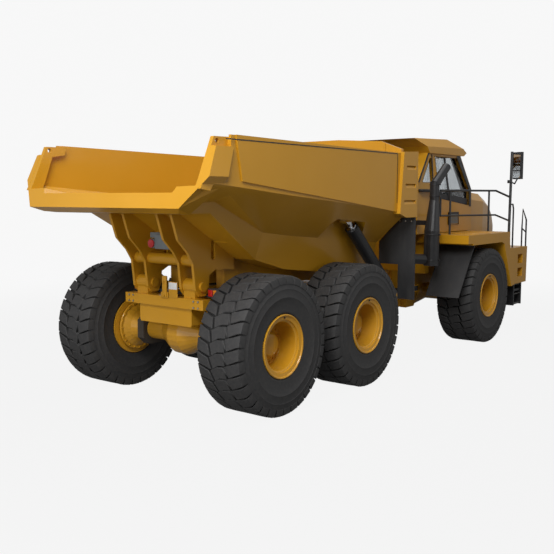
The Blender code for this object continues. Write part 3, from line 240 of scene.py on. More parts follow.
def yellow_paint(colours):
    """Sprayed golden yellow with a thin coat, faint dust low down and in patches."""
    base, dust = tuple(colours.paint), tuple(colours.dust)
    coat = {"Coat_Weight": 0.34, "Coat_Roughness": 0.12, "Specular_IOR_Level": 0.28}
    made = Finish("golden_yellow_paint", base, 0.34, **coat)
    broad = made.noise(0.9, 4.0)
    fine = made.noise(9.0, 5.0, 0.65)
    low = 1.0 - made.axis("Z").step(0.2, 1.7)
    dirt = (low * 0.10 + made.upward().step(0.5, 1.0) * 0.04) * fine.step(0.42, 0.78) + low * 0.01
    tone = made.mix(broad, blend(base, (0.0, 0.0, 0.0), 0.08), blend(base, (1.0, 0.8, 0.4), 0.05))
    made.set("Base Color", made.mix(dirt, tone, dust))
    made.set("Roughness", 0.27 + fine * 0.12 + dirt * 0.6)
    return made.bump(made.noise(55.0, 2.0), 0.05, 0.002)


def black_paint(colours):
    base = tuple(colours.black)
    made = Finish("satin_black_paint", base, 0.4)
    fine = made.noise(14.0, 5.0, 0.6)
    made.set("Base Color", made.mix(fine.step(0.5, 0.8) * 0.25, base, (0.06, 0.055, 0.05)))
    made.set("Roughness", 0.32 + fine * 0.2)
    return made.bump(made.noise(90.0, 2.0), 0.05, 0.002)


def tyre_rubber(colours):
    base = tuple(colours.rubber)
    made = Finish("tyre_rubber", base, 0.7, Specular_IOR_Level=0.35)
    fine = made.noise(26.0, 6.0, 0.65)
    broad = made.noise(2.2, 3.0)
    made.set("Base Color", made.mix(fine.step(0.35, 0.8) * 0.45 + broad * 0.15, base, (0.062, 0.058, 0.054)))
    made.set("Roughness", 0.56 + fine * 0.25)
    return made.bump(fine, 0.25, 0.004)


def flap_rubber(colours):
    made = Finish("flap_rubber", (0.016, 0.016, 0.017), 0.62)
    fine = made.noise(11.0, 4.0, 0.6, (1.0, 1.0, 0.25))
    made.set("Base Color", made.mix(fine.step(0.4, 0.8) * 0.3, (0.014, 0.014, 0.015), (0.05, 0.047, 0.043)))
    made.set("Roughness", 0.5 + fine * 0.25)
    return made.bump(fine, 0.15, 0.004)


def tinted_glass(colours):
    made = Finish("tinted_glass", tuple(colours.glass), 0.04, Transmission_Weight=1.0, IOR=1.30)
    streak = made.noise(3.5, 4.0, 0.6, (1.0, 1.0, 0.4))
    made.set("Roughness", 0.02 + streak.step(0.45, 0.9) * 0.06)
    return made


def dark_plastic(colours):
    made = Finish("grained_dark_plastic", (0.03, 0.03, 0.032), 0.55)
    grain = made.node("TexVoronoi", {}, {"Vector": made.place(), "Scale": 220.0}, out="Distance")
    made.set("Base Color", made.mix(made.noise(6.0), (0.024, 0.024, 0.026), (0.05, 0.05, 0.052)))
    made.set("Roughness", 0.48 + grain * 0.2)
    return made.bump(grain, 0.3, 0.0006)


def seat_cloth(colours):
    made = Finish("woven_seat_cloth", (0.03, 0.03, 0.036), 0.9)
    warp = (made.axis("Y") * 900.0).sine()
    weft = (made.axis("Z") * 900.0 + made.axis("X") * 900.0).sine()
    weave = warp * weft * 0.5 + 0.5
    made.set("Base Color", made.mix(weave, (0.022, 0.022, 0.028), (0.07, 0.07, 0.078)))
    made.set("Roughness", 0.8 + weave * 0.15)
    return made.bump(weave, 0.4, 0.001)


def cast_iron(colours):
    made = Finish("dark_cast_iron", (0.045, 0.04, 0.035), 0.62, 0.3)
    grain = made.noise(60.0, 5.0, 0.7)
    made.set("Base Color", made.mix(grain, (0.03, 0.027, 0.024), (0.085, 0.07, 0.055)))
    made.set("Roughness", 0.5 + grain * 0.3)
    return made.bump(grain, 0.3, 0.003)


def chrome_rod(colours):
    made = Finish("polished_chrome", (0.62, 0.62, 0.64), 0.12, 1.0)
    scratch = made.noise(40.0, 3.0, 0.6, (1.0, 8.0, 1.0))
    made.set("Roughness", 0.08 + scratch * 0.1)
    made.set("Base Color", made.mix(scratch, (0.55, 0.55, 0.57), (0.72, 0.72, 0.74)))
    return made


def lamp_plastic(colours):
    made = Finish("clear_lamp_lens", (0.75, 0.76, 0.78), 0.1, Coat_Weight=0.6, Coat_Roughness=0.05)
    ribs = (made.axis("Y") * 260.0).sine() * (made.axis("Z") * 260.0).sine() * 0.5 + 0.5
    made.set("Base Color", made.mix(ribs, (0.55, 0.57, 0.6), (0.86, 0.87, 0.88)))
    made.set("Roughness", 0.08 + ribs * 0.1)
    return made.bump(ribs, 0.3, 0.003)


def grey_plastic(colours):
    made = Finish("grey_vent_plastic", (0.16, 0.18, 0.19), 0.5)
    grain = made.noise(30.0, 3.0)
    made.set("Base Color", made.mix(grain, (0.13, 0.15, 0.16), (0.20, 0.22, 0.23)))
    made.set("Roughness", 0.4 + grain * 0.2)
    return made


def mirror_glass(colours):
    made = Finish("mirror_glass", (0.82, 0.83, 0.84), 0.03, 1.0)
    haze = made.noise(5.0, 3.0)
    made.set("Roughness", 0.02 + haze.step(0.4, 0.9) * 0.05)
    made.set("Base Color", made.mix(haze, (0.76, 0.77, 0.78), (0.86, 0.87, 0.88)))
    return made


def red_lens(colours):
    made = Finish("red_lamp_lens", (0.45, 0.01, 0.01), 0.12, Coat_Weight=0.7, Coat_Roughness=0.05)
    ribs = (made.axis("Z") * 420.0).sine() * 0.5 + 0.5
    made.set("Base Color", made.mix(ribs, (0.32, 0.005, 0.006), (0.62, 0.02, 0.02)))
    return made.bump(ribs, 0.3, 0.002)


def amber_lens(colours):
    made = Finish("amber_lamp_lens", (0.75, 0.22, 0.01), 0.12, Coat_Weight=0.7, Coat_Roughness=0.05)
    ribs = (made.axis("Z") * 420.0).sine() * 0.5 + 0.5
    made.set("Base Color", made.mix(ribs, (0.55, 0.15, 0.005), (0.85, 0.28, 0.02)))
    return made.bump(ribs, 0.3, 0.002)


def plate_white(colours):
    made = Finish("blank_plate_white", (0.80, 0.80, 0.78), 0.35)
    dirt = made.noise(12.0, 4.0)
    made.set("Base Color", made.mix(dirt.step(0.4, 0.8) * 0.4, (0.80, 0.80, 0.78), (0.55, 0.52, 0.46)))
    made.set("Roughness", 0.3 + dirt * 0.2)
    return made


def bright_steel(colours):
    made = Finish("zinc_fasteners", (0.42, 0.41, 0.38), 0.38, 1.0)
    grain = made.noise(45.0, 4.0)
    made.set("Base Color", made.mix(grain, (0.34, 0.33, 0.30), (0.52, 0.51, 0.48)))
    made.set("Roughness", 0.3 + grain * 0.25)
    return made


EXTRA_FINISHES = {
    "grey_plastic": grey_plastic,
    "mirror_glass": mirror_glass,
    "red_lens": red_lens,
    "amber_lens": amber_lens,
    "plate_white": plate_white,
    "bright_steel": bright_steel,
}

SLOT_FINISHES = {
    "yellow_paint": yellow_paint,
    "black_paint": black_paint,
    "tyre_rubber": tyre_rubber,
    "flap_rubber": flap_rubber,
    "tinted_glass": tinted_glass,
    "dark_plastic": dark_plastic,
    "seat_cloth": seat_cloth,
    "cast_iron": cast_iron,
    "chrome_rod": chrome_rod,
    "lamp_plastic": lamp_plastic,
}


# Shapes

SIDES = (("left", 1), ("right", -1))
WHEELS = [
    # place, station, side
    ("front_left", 6.236, 1),
    ("front_right", 6.236, -1),
    ("mid_left", 1.966, 1),
    ("mid_right", 1.966, -1),
    ("rear_left", 0.0, 1),
    ("rear_right", 0.0, -1),
]
HALF_TRACK = 1.335
AXLE_Z = 0.875
CAB_HALF = 0.82
FLOOR_LIFT = [(-1.36, 0.0), (-0.715, 0.267), (0.33, 0.100), (0.95, 0.0)]  # station, lift
EXHAUST_BANDS = [
    # station, z, radius
    (4.8517, 1.60, 0.135),
    (4.8590, 2.04, 0.135),
    (4.9265, 2.70, 0.084),
    (4.9295, 2.90, 0.084),
]
CAB_FACE = 0.8206  # just off the cab's outer panels
REAR_AXLE_X = 3.981  # how far the rear axle lies behind the model's origin
TYRE_RADIUS = 0.875
SIDE_WINDOW = [(5.80, 2.66), (5.56, 3.42), (6.49, 3.42), (7.08, 2.83), (7.10, 2.52)]
QUARTER_WINDOW = [(5.10, 2.95), (5.37, 3.38), (5.42, 3.38), (5.50, 2.95)]


def at(station):
    """Turn a distance ahead of the rear axle into X."""
    return station - REAR_AXLE_X


class Shape:
    """Closed bodies gathered in one bmesh, which become one piece of the truck."""

    def __init__(self):
        self.bm = bmesh.new()

    def soften(self, verts, bevel):
        """Round the sharp edges of the last body."""
        if bevel:
            edges = {edge for vert in verts for edge in vert.link_edges if edge.calc_face_angle(0.0) > 0.6}
            bmesh.ops.bevel(
                self.bm, geom=list(edges), offset=bevel, affect="EDGES", segments=2, profile=0.5, material=-1
            )
        return self

    def box(self, low, high, bevel=0.0, turn=None):
        """A block between two corners given in the model's frame."""
        low, high = Vector(low), Vector(high)
        matrix = Matrix.Translation((low + high) / 2.0) @ (turn or Matrix.Identity(4))
        matrix = matrix @ Matrix.Diagonal((*(high - low), 1.0))
        return self.soften(bmesh.ops.create_cube(self.bm, size=1.0, matrix=matrix)["verts"], bevel)

    def rod(self, first, last, radius, sides=16, bevel=0.0):
        """A round bar between two points."""
        first, last = Vector(first), Vector(last)
        along = last - first
        matrix = Matrix.Translation((first + last) / 2.0) @ along.to_track_quat("Z", "Y").to_matrix().to_4x4()
        made = bmesh.ops.create_cone(
            self.bm,
            cap_ends=True,
            segments=sides,
            radius1=radius,
            radius2=radius,
            depth=along.length,
            matrix=matrix,
        )
        return self.soften(made["verts"], bevel)

    def thicken(self, faces, plane, depth):
        made = bmesh.ops.extrude_face_region(self.bm, geom=faces)
        verts = [item for item in made["geom"] if isinstance(item, bmesh.types.BMVert)]
        way = (0.0, depth, 0.0) if plane == "side" else (depth, 0.0, 0.0)
        bmesh.ops.translate(self.bm, verts=verts, vec=way)
        return verts

    def outline(self, points, plane, near):
        """A flat face: side points are (station, z) and front points (y, z)."""
        places = [(at(a), near, z) if plane == "side" else (near, a, z) for a, z in points]
        return self.bm.faces.new([self.bm.verts.new(place) for place in places])

    def plate(self, points, plane, near, far, bevel=0.0):
        """An outline given thickness."""
        face = self.outline(points, plane, near)
        verts = list(face.verts)
        return self.soften(verts + self.thicken([face], plane, far - near), bevel)

    def frame(self, points, plane, near, far, width):
        """A band of one width that runs inside an outline."""
        face = self.outline(points, plane, near)
        made = bmesh.ops.inset_region(
            self.bm, faces=[face], thickness=width, use_even_offset=True, use_boundary=True
        )
        bmesh.ops.delete(self.bm, geom=[face], context="FACES_ONLY")
        self.thicken(made["faces"], plane, far - near)
        return self

    def turned(self, profile, centre, side, steps):
        """Spin a profile of (radius, offset) round an axle that lies along Y."""
        centre = Vector(centre)
        verts = [self.bm.verts.new(centre + Vector((0.0, side * out, radius))) for radius, out in profile]
        edges = [self.bm.edges.new(pair) for pair in zip(verts, verts[1:])]
        if profile[0][0] > 0.001:
            edges.append(self.bm.edges.new((verts[-1], verts[0])))
        bmesh.ops.spin(
            self.bm,
            geom=verts + edges,
            cent=centre,
            axis=(0.0, 1.0, 0.0),
            angle=2.0 * math.pi,
            steps=steps,
            use_merge=True,
        )
        bmesh.ops.remove_doubles(self.bm, verts=self.bm.verts, dist=0.0001)
        return self

    def pipe(self, points, radius, closed=False):
        """A round tube along a path."""
        data = bpy.data.curves.new("path", "CURVE")
        data.dimensions = "3D"
        data.bevel_depth = radius
        data.bevel_resolution = 2
        data.use_fill_caps = True
        spline = data.splines.new("POLY")
        spline.points.add(len(points) - 1)
        for point, place in zip(spline.points, points):
            point.co = (*place, 1.0)
        spline.use_cyclic_u = closed
        item = bpy.data.objects.new("path", data)
        mesh = bpy.data.meshes.new_from_object(item)
        before = set(self.bm.verts)
        self.bm.from_mesh(mesh)
        new = [vert for vert in self.bm.verts if vert not in before]
        bmesh.ops.remove_doubles(self.bm, verts=new, dist=0.0001)
        bpy.data.objects.remove(item)
        bpy.data.meshes.remove(mesh)
        return self

    def ring_copies(self, before, centre, count):
        """Repeat what is not in before, the older verts, at even steps round an axle along Y."""
        verts = [vert for vert in self.bm.verts if vert not in before]
        edges = {edge for vert in verts for edge in vert.link_edges}
        faces = {face for vert in verts for face in vert.link_faces}
        bmesh.ops.spin(
            self.bm,
            geom=verts + list(edges) + list(faces),
            cent=centre,
            axis=(0.0, 1.0, 0.0),
            angle=2.0 * math.pi * (count - 1) / count,
            steps=count - 1,
            use_duplicate=True,
        )
        return self

    def done(self, name, body, slot, finish=None, replaces=(), smooth=35.0):
        """Turn the bmesh into a piece that rides on a body and wears a finish."""
        bm = self.bm
        bmesh.ops.recalc_face_normals(bm, faces=bm.faces)
        if any(edge.is_boundary for edge in bm.edges):
            raise RuntimeError(name + " is open")
        for face in bm.faces:
            face.smooth = True
        for edge in bm.edges:
            edge.smooth = edge.calc_face_angle(0.0) < math.radians(smooth)
        mesh = bpy.data.meshes.new(name)
        bm.to_mesh(mesh)
        bm.free()
        item = bpy.data.objects.new(name, mesh)
        mesh.materials.append(FINISHES[finish or slot])
        bpy.context.scene.collection.objects.link(item)
        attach(item, body)
        if replaces:
            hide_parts(*replaces)
        return item


# Stage


def floor_finish(colours):
    """Pale floor that keeps the truck's shadow and runs into the backdrop without an edge."""
    shade = tuple(colours.floor)
    made = Finish("studio_floor", blend((0.0, 0.0, 0.0), shade, 0.20), 0.9)
    x, y = made.axis("X"), made.axis("Y")
    far = (x * x + y * y).power(0.5).step(6.0, 15.0)
    glow = made.node("Emission", {}, {"Color": (*shade, 1.0), "Strength": 1.0})
    rays = made.node("LightPath", out="Is Camera Ray") + made.node("LightPath", out="Is Transmission Ray")
    rays = rays + made.node("LightPath", out="Is Glossy Ray") * 0.12
    amount = (far * 0.05 + 0.95) * rays.least(1.0)
    mixed = made.node("MixShader", {}, {0: amount, 1: Wire(made, made.shader.outputs[0]), 2: glow})
    made.feed(made.tree.nodes["Material Output"].inputs["Surface"], mixed)
    return made.material


def lamp(name, place, aim, size, power):
    """One soft rectangular lamp."""
    data = bpy.data.lights.new(name, "AREA")
    data.shape = "RECTANGLE"
    data.size, data.size_y = size
    data.energy = power
    item = bpy.data.objects.new(name, data)
    item.location = place
    item.rotation_euler = (Vector(aim) - Vector(place)).to_track_quat("-Z", "Y").to_euler()
    bpy.context.scene.collection.objects.link(item)


class DUMPTRUCK_OT_stage(bpy.types.Operator):
    """Camera, lamps, world and floor"""

    bl_idname = "dumptruck.stage"
    bl_label = "Set the stage"

    def execute(self, context):
        scene = context.scene
        data = bpy.data.cameras.new("photo_camera")
        data.lens = CAMERA_LENS
        data.sensor_width = 36.0
        camera = bpy.data.objects.new("photo_camera", data)
        across = math.cos(CAMERA_PITCH)
        look = Vector((across * math.cos(CAMERA_YAW), across * math.sin(CAMERA_YAW), math.sin(CAMERA_PITCH)))
        camera.location = CAMERA_PLACE
        camera.rotation_euler = look.to_track_quat("-Z", "Y").to_euler()
        scene.collection.objects.link(camera)
        scene.camera = camera
        scene.view_settings.view_transform = "Standard"

        bm = bmesh.new()
        bmesh.ops.create_grid(bm, x_segments=1, y_segments=1, size=60.0)
        mesh = bpy.data.meshes.new("floor")
        bm.to_mesh(mesh)
        bm.free()
        floor = bpy.data.objects.new("floor", mesh)
        floor.data.materials.append(floor_finish(scene.dumptruck_colours))
        scene.collection.objects.link(floor)

        world = bpy.data.worlds.new("studio")
        scene.world = world
        world.use_nodes = True
        back = world.node_tree.nodes["Background"]
        path = world.node_tree.nodes.new("ShaderNodeLightPath")
        strength = 0.15
        seen_as = {"Is Camera Ray": 0.785, "Is Glossy Ray": 0.30, "Is Transmission Ray": 0.785}
        for output, more in seen_as.items():
            seen = world.node_tree.nodes.new("ShaderNodeMath")
            seen.operation = "MULTIPLY_ADD"
            seen.inputs[1].default_value = more
            if isinstance(strength, float):
                seen.inputs[2].default_value = strength
            else:
                world.node_tree.links.new(strength, seen.inputs[2])
            world.node_tree.links.new(path.outputs[output], seen.inputs[0])
            strength = seen.outputs[0]
        world.node_tree.links.new(strength, back.inputs["Strength"])
        back.inputs["Color"].default_value = (1.0, 1.0, 1.0, 1.0)

        lamp("key_lamp", (-12.0, -6.0, 11.5), (-1.0, 0.0, 1.5), (7.0, 7.0), 1900.0)
        lamp("side_lamp", (3.0, -14.0, 5.0), (0.0, 0.0, 2.0), (8.0, 5.0), 120.0)
        lamp("rear_lamp", (-15.0, -2.0, 3.5), (-4.0, 0.0, 2.4), (5.0, 3.0), 440.0)
        lamp("top_lamp", (0.0, 0.0, 12.0), (0.0, 0.0, 0.0), (12.0, 6.0), 500.0)
        return {"FINISHED"}


class DUMPTRUCK_OT_finishes(bpy.types.Operator):
    """Materials of every CAD node"""

    bl_idname = "dumptruck.finishes"
    bl_label = "Paint the model"

    def execute(self, context):
        colours = context.scene.dumptruck_colours
        for name, make in {**SLOT_FINISHES, **EXTRA_FINISHES}.items():
            FINISHES[name] = make(colours).material
        for part in frame["record"]["subparts"]:
            node = NODES[part["node"]]
            node.data.materials.clear()
            node.data.materials.append(FINISHES[part["material_slot"]])
        return {"FINISHED"}


class DUMPTRUCK_OT_tyres(bpy.types.Operator):
    """Tyres with sidewall rings and three rows of tread blocks"""

    bl_idname = "dumptruck.tyres"
    bl_label = "Fit the tyres"

    def carcass(self, shape, centre, side, depth):
        half = [
            (0.3415, 0.299), (0.402, 0.299), (0.412, 0.312), (0.430, 0.318), (0.445, 0.316),
            (0.520, 0.331), (0.600, 0.336), (0.606, 0.340), (0.612, 0.3365), (0.700, 0.3365),
            (0.704, 0.3395), (0.709, 0.336), (0.765, 0.331), (0.800, 0.322), (TYRE_RADIUS - depth, 0.300),
            (TYRE_RADIUS - depth, 0.150),
        ]
        profile = half + [(radius, -out) for radius, out in reversed(half)]
        shape.turned(profile, centre, side, 68)

    def centre_block(self, shape, centre, side, depth, pitch):
        """Skewed six-sided block, chamfered on top."""
        reach = pitch * 0.46
        points = [(-0.105, -reach), (0.0, -reach + 0.022), (0.105, -reach)]
        points += [(y, s + 2.0 * reach - 0.006) for y, s in reversed(points)]
        bottom = []
        for y, s in points:
            angle = (s + 0.30 * y) / TYRE_RADIUS
            out = side * (y - 0.28 * s)
            low = TYRE_RADIUS - depth - 0.004
            place = (centre[0] + low * math.sin(angle), centre[1] + out, centre[2] + low * math.cos(angle))
            bottom.append(shape.bm.verts.new(place))
        face = shape.bm.faces.new(bottom)
        self.raise_block(shape, face, centre, depth + 0.004)

    def raise_block(self, shape, face, centre, height):
        """Raise a block from its foot in two steps, the last one drawn in for a chamfer."""
        for lift, draw in ((height - 0.006, 0.97), (0.006, 0.93)):
            made = bmesh.ops.extrude_face_region(shape.bm, geom=[face])["geom"]
            verts = [item for item in made if isinstance(item, bmesh.types.BMVert)]
            face = next(item for item in made if isinstance(item, bmesh.types.BMFace))
            middle = sum((vert.co for vert in verts), Vector()) / len(verts)
            for vert in verts:
                away = Vector((vert.co.x - centre[0], 0.0, vert.co.z - centre[2])).normalized()
                vert.co = middle + (vert.co - middle) * draw + away * lift

    def shoulder_block(self, shape, centre, side, depth, pitch, offset):
        """Block that runs from the tread over the shoulder and down the side."""
        section = [
            (0.128, 0.872 - depth), (0.128, 0.870), (0.134, 0.875), (0.285, 0.874), (0.322, 0.856),
            (0.333, 0.815), (0.337, 0.770), (0.310, 0.765),
        ]
        reach = pitch * 0.43 / TYRE_RADIUS
        rows = []
        for turn in (-reach, -reach + 0.007, reach - 0.007, reach):
            draw = 0.005 if abs(turn) == reach else 0.0
            row = []
            for out, radius in section:
                skew = 0.35 * (out - 0.128) - 0.05 * max(0.0, 0.86 - radius)
                angle = turn + offset + skew / TYRE_RADIUS
                if radius > 0.8:
                    radius -= draw
                if out < 0.2:
                    out += 0.28 * turn * TYRE_RADIUS * side
                place = (
                    centre[0] + radius * math.sin(angle),
                    centre[1] + side * out,
                    centre[2] + radius * math.cos(angle),
                )
                row.append(shape.bm.verts.new(place))
            rows.append(row)
        loops = [[shape.bm.edges.new((row[i], row[i - 1])) for i in range(len(row))] for row in rows]
        for first, second in zip(loops, loops[1:]):
            bmesh.ops.bridge_loops(shape.bm, edges=first + second)
        for row in (rows[0], rows[-1]):
            shape.bm.faces.new(row)

    def execute(self, context):
        sizes = context.scene.dumptruck_sizes
        count, depth = sizes.tread_blocks, sizes.tread_depth
        pitch = 2.0 * math.pi * TYRE_RADIUS / count
        for place, station, side in WHEELS:
            centre = Vector((at(station), side * HALF_TRACK, AXLE_Z))
            shape = Shape()
            self.carcass(shape, centre, side, depth)
            start = set(shape.bm.verts)
            self.centre_block(shape, centre, side, depth, pitch)
            self.shoulder_block(shape, centre, side, depth, pitch, 0.30 * pitch)
            self.shoulder_block(shape, centre, -side, depth, pitch, -0.30 * pitch)
            shape.ring_copies(start, centre, count)
            shape.done("tread_tyre_" + place, "wheel_" + place, "tyre_rubber", replaces=["tyre_" + place])
        return {"FINISHED"}


class DUMPTRUCK_OT_rims(bpy.types.Operator):
    """Rims with a lock ring, a dished disc, bolts and a valve"""

    bl_idname = "dumptruck.rims"
    bl_label = "Fit the rims"

    def execute(self, context):
        outer = [
            (0.0, 0.126), (0.120, 0.126), (0.140, 0.118), (0.160, 0.090), (0.172, 0.034), (0.182, 0.028),
            (0.222, 0.028), (0.226, 0.022), (0.292, 0.022), (0.300, 0.034), (0.302, 0.262),
            (0.312, 0.274), (0.326, 0.278), (0.330, 0.300), (0.372, 0.308), (0.378, 0.320),
            (0.388, 0.324), (0.398, 0.318), (0.398, 0.3003), (0.3395, 0.2995),
        ]
        inner = [(0.3395, -0.300), (0.398, -0.300), (0.398, -0.322), (0.315, -0.322)]
        inner += [(0.315, -0.013), (0.0, -0.013)]
        for place, station, side in WHEELS:
            centre = Vector((at(station), side * HALF_TRACK, AXLE_Z))
            shape = Shape()
            shape.turned(outer + inner, centre, side, 64)
            start = set(shape.bm.verts)
            nut = centre + Vector((0.0, 0.0, 0.252))
            out = Vector((0.0, side, 0.0))
            shape.rod(nut + out * 0.016, nut + out * 0.036, 0.013, 6)
            shape.ring_copies(start, centre, 20)
            shape.done("dressed_rim_" + place, "wheel_" + place, "yellow_paint", replaces=["rim_" + place])
            foot = centre + Vector((0.02, side * 0.302, 0.352))
            near, far = Vector((0.0, side * 0.012, 0.003)), Vector((0.0, side * 0.020, 0.006))
            valve = Shape().rod(foot, foot + Vector((0.0, side * 0.016, 0.004)), 0.010, 10)
            valve.rod(foot + near, foot + far, 0.006, 8)
            valve.done("valve_" + place, "wheel_" + place, "black_paint")
        return {"FINISHED"}


class DUMPTRUCK_OT_cab(bpy.types.Operator):
    """Window seals, pillars, vent, door handle and rear guard of the cab"""

    bl_idname = "dumptruck.cab"
    bl_label = "Trim the cab"

    def side_window(self):
        """Seal, divider and sill of the fixed window on the right."""
        seal = Shape().frame(SIDE_WINDOW, "side", -0.775, -0.826, 0.026)
        seal.plate([(6.46, 3.45), (6.53, 3.45), (7.13, 2.80), (7.08, 2.80)], "side", -0.821, -0.829)
        seal.plate([(7.08, 2.83), (7.13, 2.80), (7.135, 2.50), (7.09, 2.51)], "side", -0.821, -0.829)
        seal.done("side_window_seal", "front_frame", "black_paint")
        bar = [(5.99, 3.42), (6.04, 3.42), (6.30, 2.63), (6.25, 2.62)]
        Shape().plate(bar, "side", -0.780, -0.800).done("window_divider", "front_frame", "dark_plastic")
        sill = [(5.82, 2.67), (5.78, 2.76), (6.30, 2.71), (6.34, 2.72), (7.07, 2.66), (7.09, 2.54)]
        Shape().plate(sill, "side", -0.776, -0.780).done("dark_sill", "front_frame", "dark_plastic")

    def seals(self):
        liner = [(6.535, 3.438), (6.572, 3.438), (7.105, 2.822), (7.145, 2.46), (7.100, 2.46), (7.065, 2.80)]
        cover = [(6.49, 3.455), (6.60, 3.497), (7.172, 2.84), (7.178, 2.50), (7.09, 2.50), (7.07, 2.83)]
        cover.append((6.48, 3.43))
        slant = [(4.935, 2.95), (4.975, 2.945), (5.355, 3.49), (5.315, 3.495)]
        post = [(5.500, 2.93), (5.530, 2.93), (5.455, 3.45), (5.425, 3.45)]
        for place, side in SIDES:
            face = side * CAB_FACE
            if side < 0:
                self.side_window()
            item = Shape().plate(liner, "side", side * 0.650, side * 0.7632)
            item.done("pillar_liner_" + place, "front_frame", "dark_plastic")
            item = Shape().plate(cover, "side", face, side * 0.8230)
            item.done("front_pillar_cover_" + place, "front_frame", "black_paint")
            item = Shape().frame(QUARTER_WINDOW, "side", side * 0.775, side * 0.826, 0.016)
            item.plate(slant, "side", face, side * 0.830).plate(post, "side", face, side * 0.828)
            item.done("quarter_window_frame_" + place, "front_frame", "black_paint")

    def door(self):
        """Seal and handle on the left door."""
        glass = [(5.80, 2.68), (5.59, 3.38), (6.46, 3.38), (6.99, 2.81), (7.02, 2.56)]
        seal = Shape().frame(glass, "side", CAB_FACE, 0.828, 0.024)
        seal.done("door_window_seal", "cab_door", "black_paint")
        handle = Shape().box((at(6.78), CAB_FACE, 2.30), (at(6.92), 0.832, 2.36), 0.004)
        bow = ((6.79, 0.832), (6.80, 0.860), (6.90, 0.860), (6.91, 0.832))
        handle.pipe([(at(station), y, 2.33) for station, y in bow], 0.009)
        handle.done("door_handle", "cab_door", "black_paint")

    def vent(self):
        """Air vent low on the cab's right side."""
        border = [(6.16, 2.16), (6.16, 2.40), (6.60, 2.40), (6.60, 2.16)]
        frame = Shape().frame(border, "side", -CAB_FACE, -0.836, 0.018)
        frame.box((at(6.17), -0.838, 2.365), (at(6.59), -CAB_FACE, 2.398))
        frame.done("side_vent_frame", "front_frame", "black_paint")
        louvres = Shape()
        for index in range(7):
            z = 2.185 + index * 0.027
            slat = [(6.175, z), (6.585, z), (6.585, z + 0.018), (6.175, z + 0.018)]
            louvres.plate(slat, "side", -CAB_FACE, -0.832)
        louvres.done("side_vent_louvres", "front_frame", "dark_plastic", "grey_plastic")

    def rear_guard(self):
        """Mesh guard behind the rear window, on top of the cooling box."""
        x = at(4.815)
        border = [(-0.76, 2.7706), (0.76, 2.7706), (0.76, 3.47), (-0.76, 3.47)]
        guard = Shape().frame(border, "front", x - 0.012, x + 0.012, 0.028)
        guard.box((x - 0.01, -0.735, 3.36), (x + 0.01, 0.735, 3.446))
        guard.done("rear_guard_frame", "front_frame", "black_paint")
        mesh = Shape()
        for index in range(37):
            y = -0.72 + index * 0.04
            mesh.box((x - 0.004, y - 0.004, 2.79), (x + 0.004, y + 0.004, 3.37))
        for index in range(14):
            z = 2.82 + index * 0.04
            mesh.box((x - 0.007, -0.74, z - 0.004), (x + 0.001, 0.74, z + 0.004))
        mesh.done("rear_guard_mesh", "front_frame", "black_paint")
        shelf = Shape()
        for _, side in SIDES:
            low, high = sorted((side * CAB_FACE, side * 0.900))
            shelf.box((at(4.95), low, 2.775), (at(5.43), high, 2.825), 0.012)
        shelf.done("rear_corner_shelves", "front_frame", "black_paint")

    def execute(self, context):
        self.seals()
        self.door()
        self.vent()
        self.rear_guard()
        return {"FINISHED"}


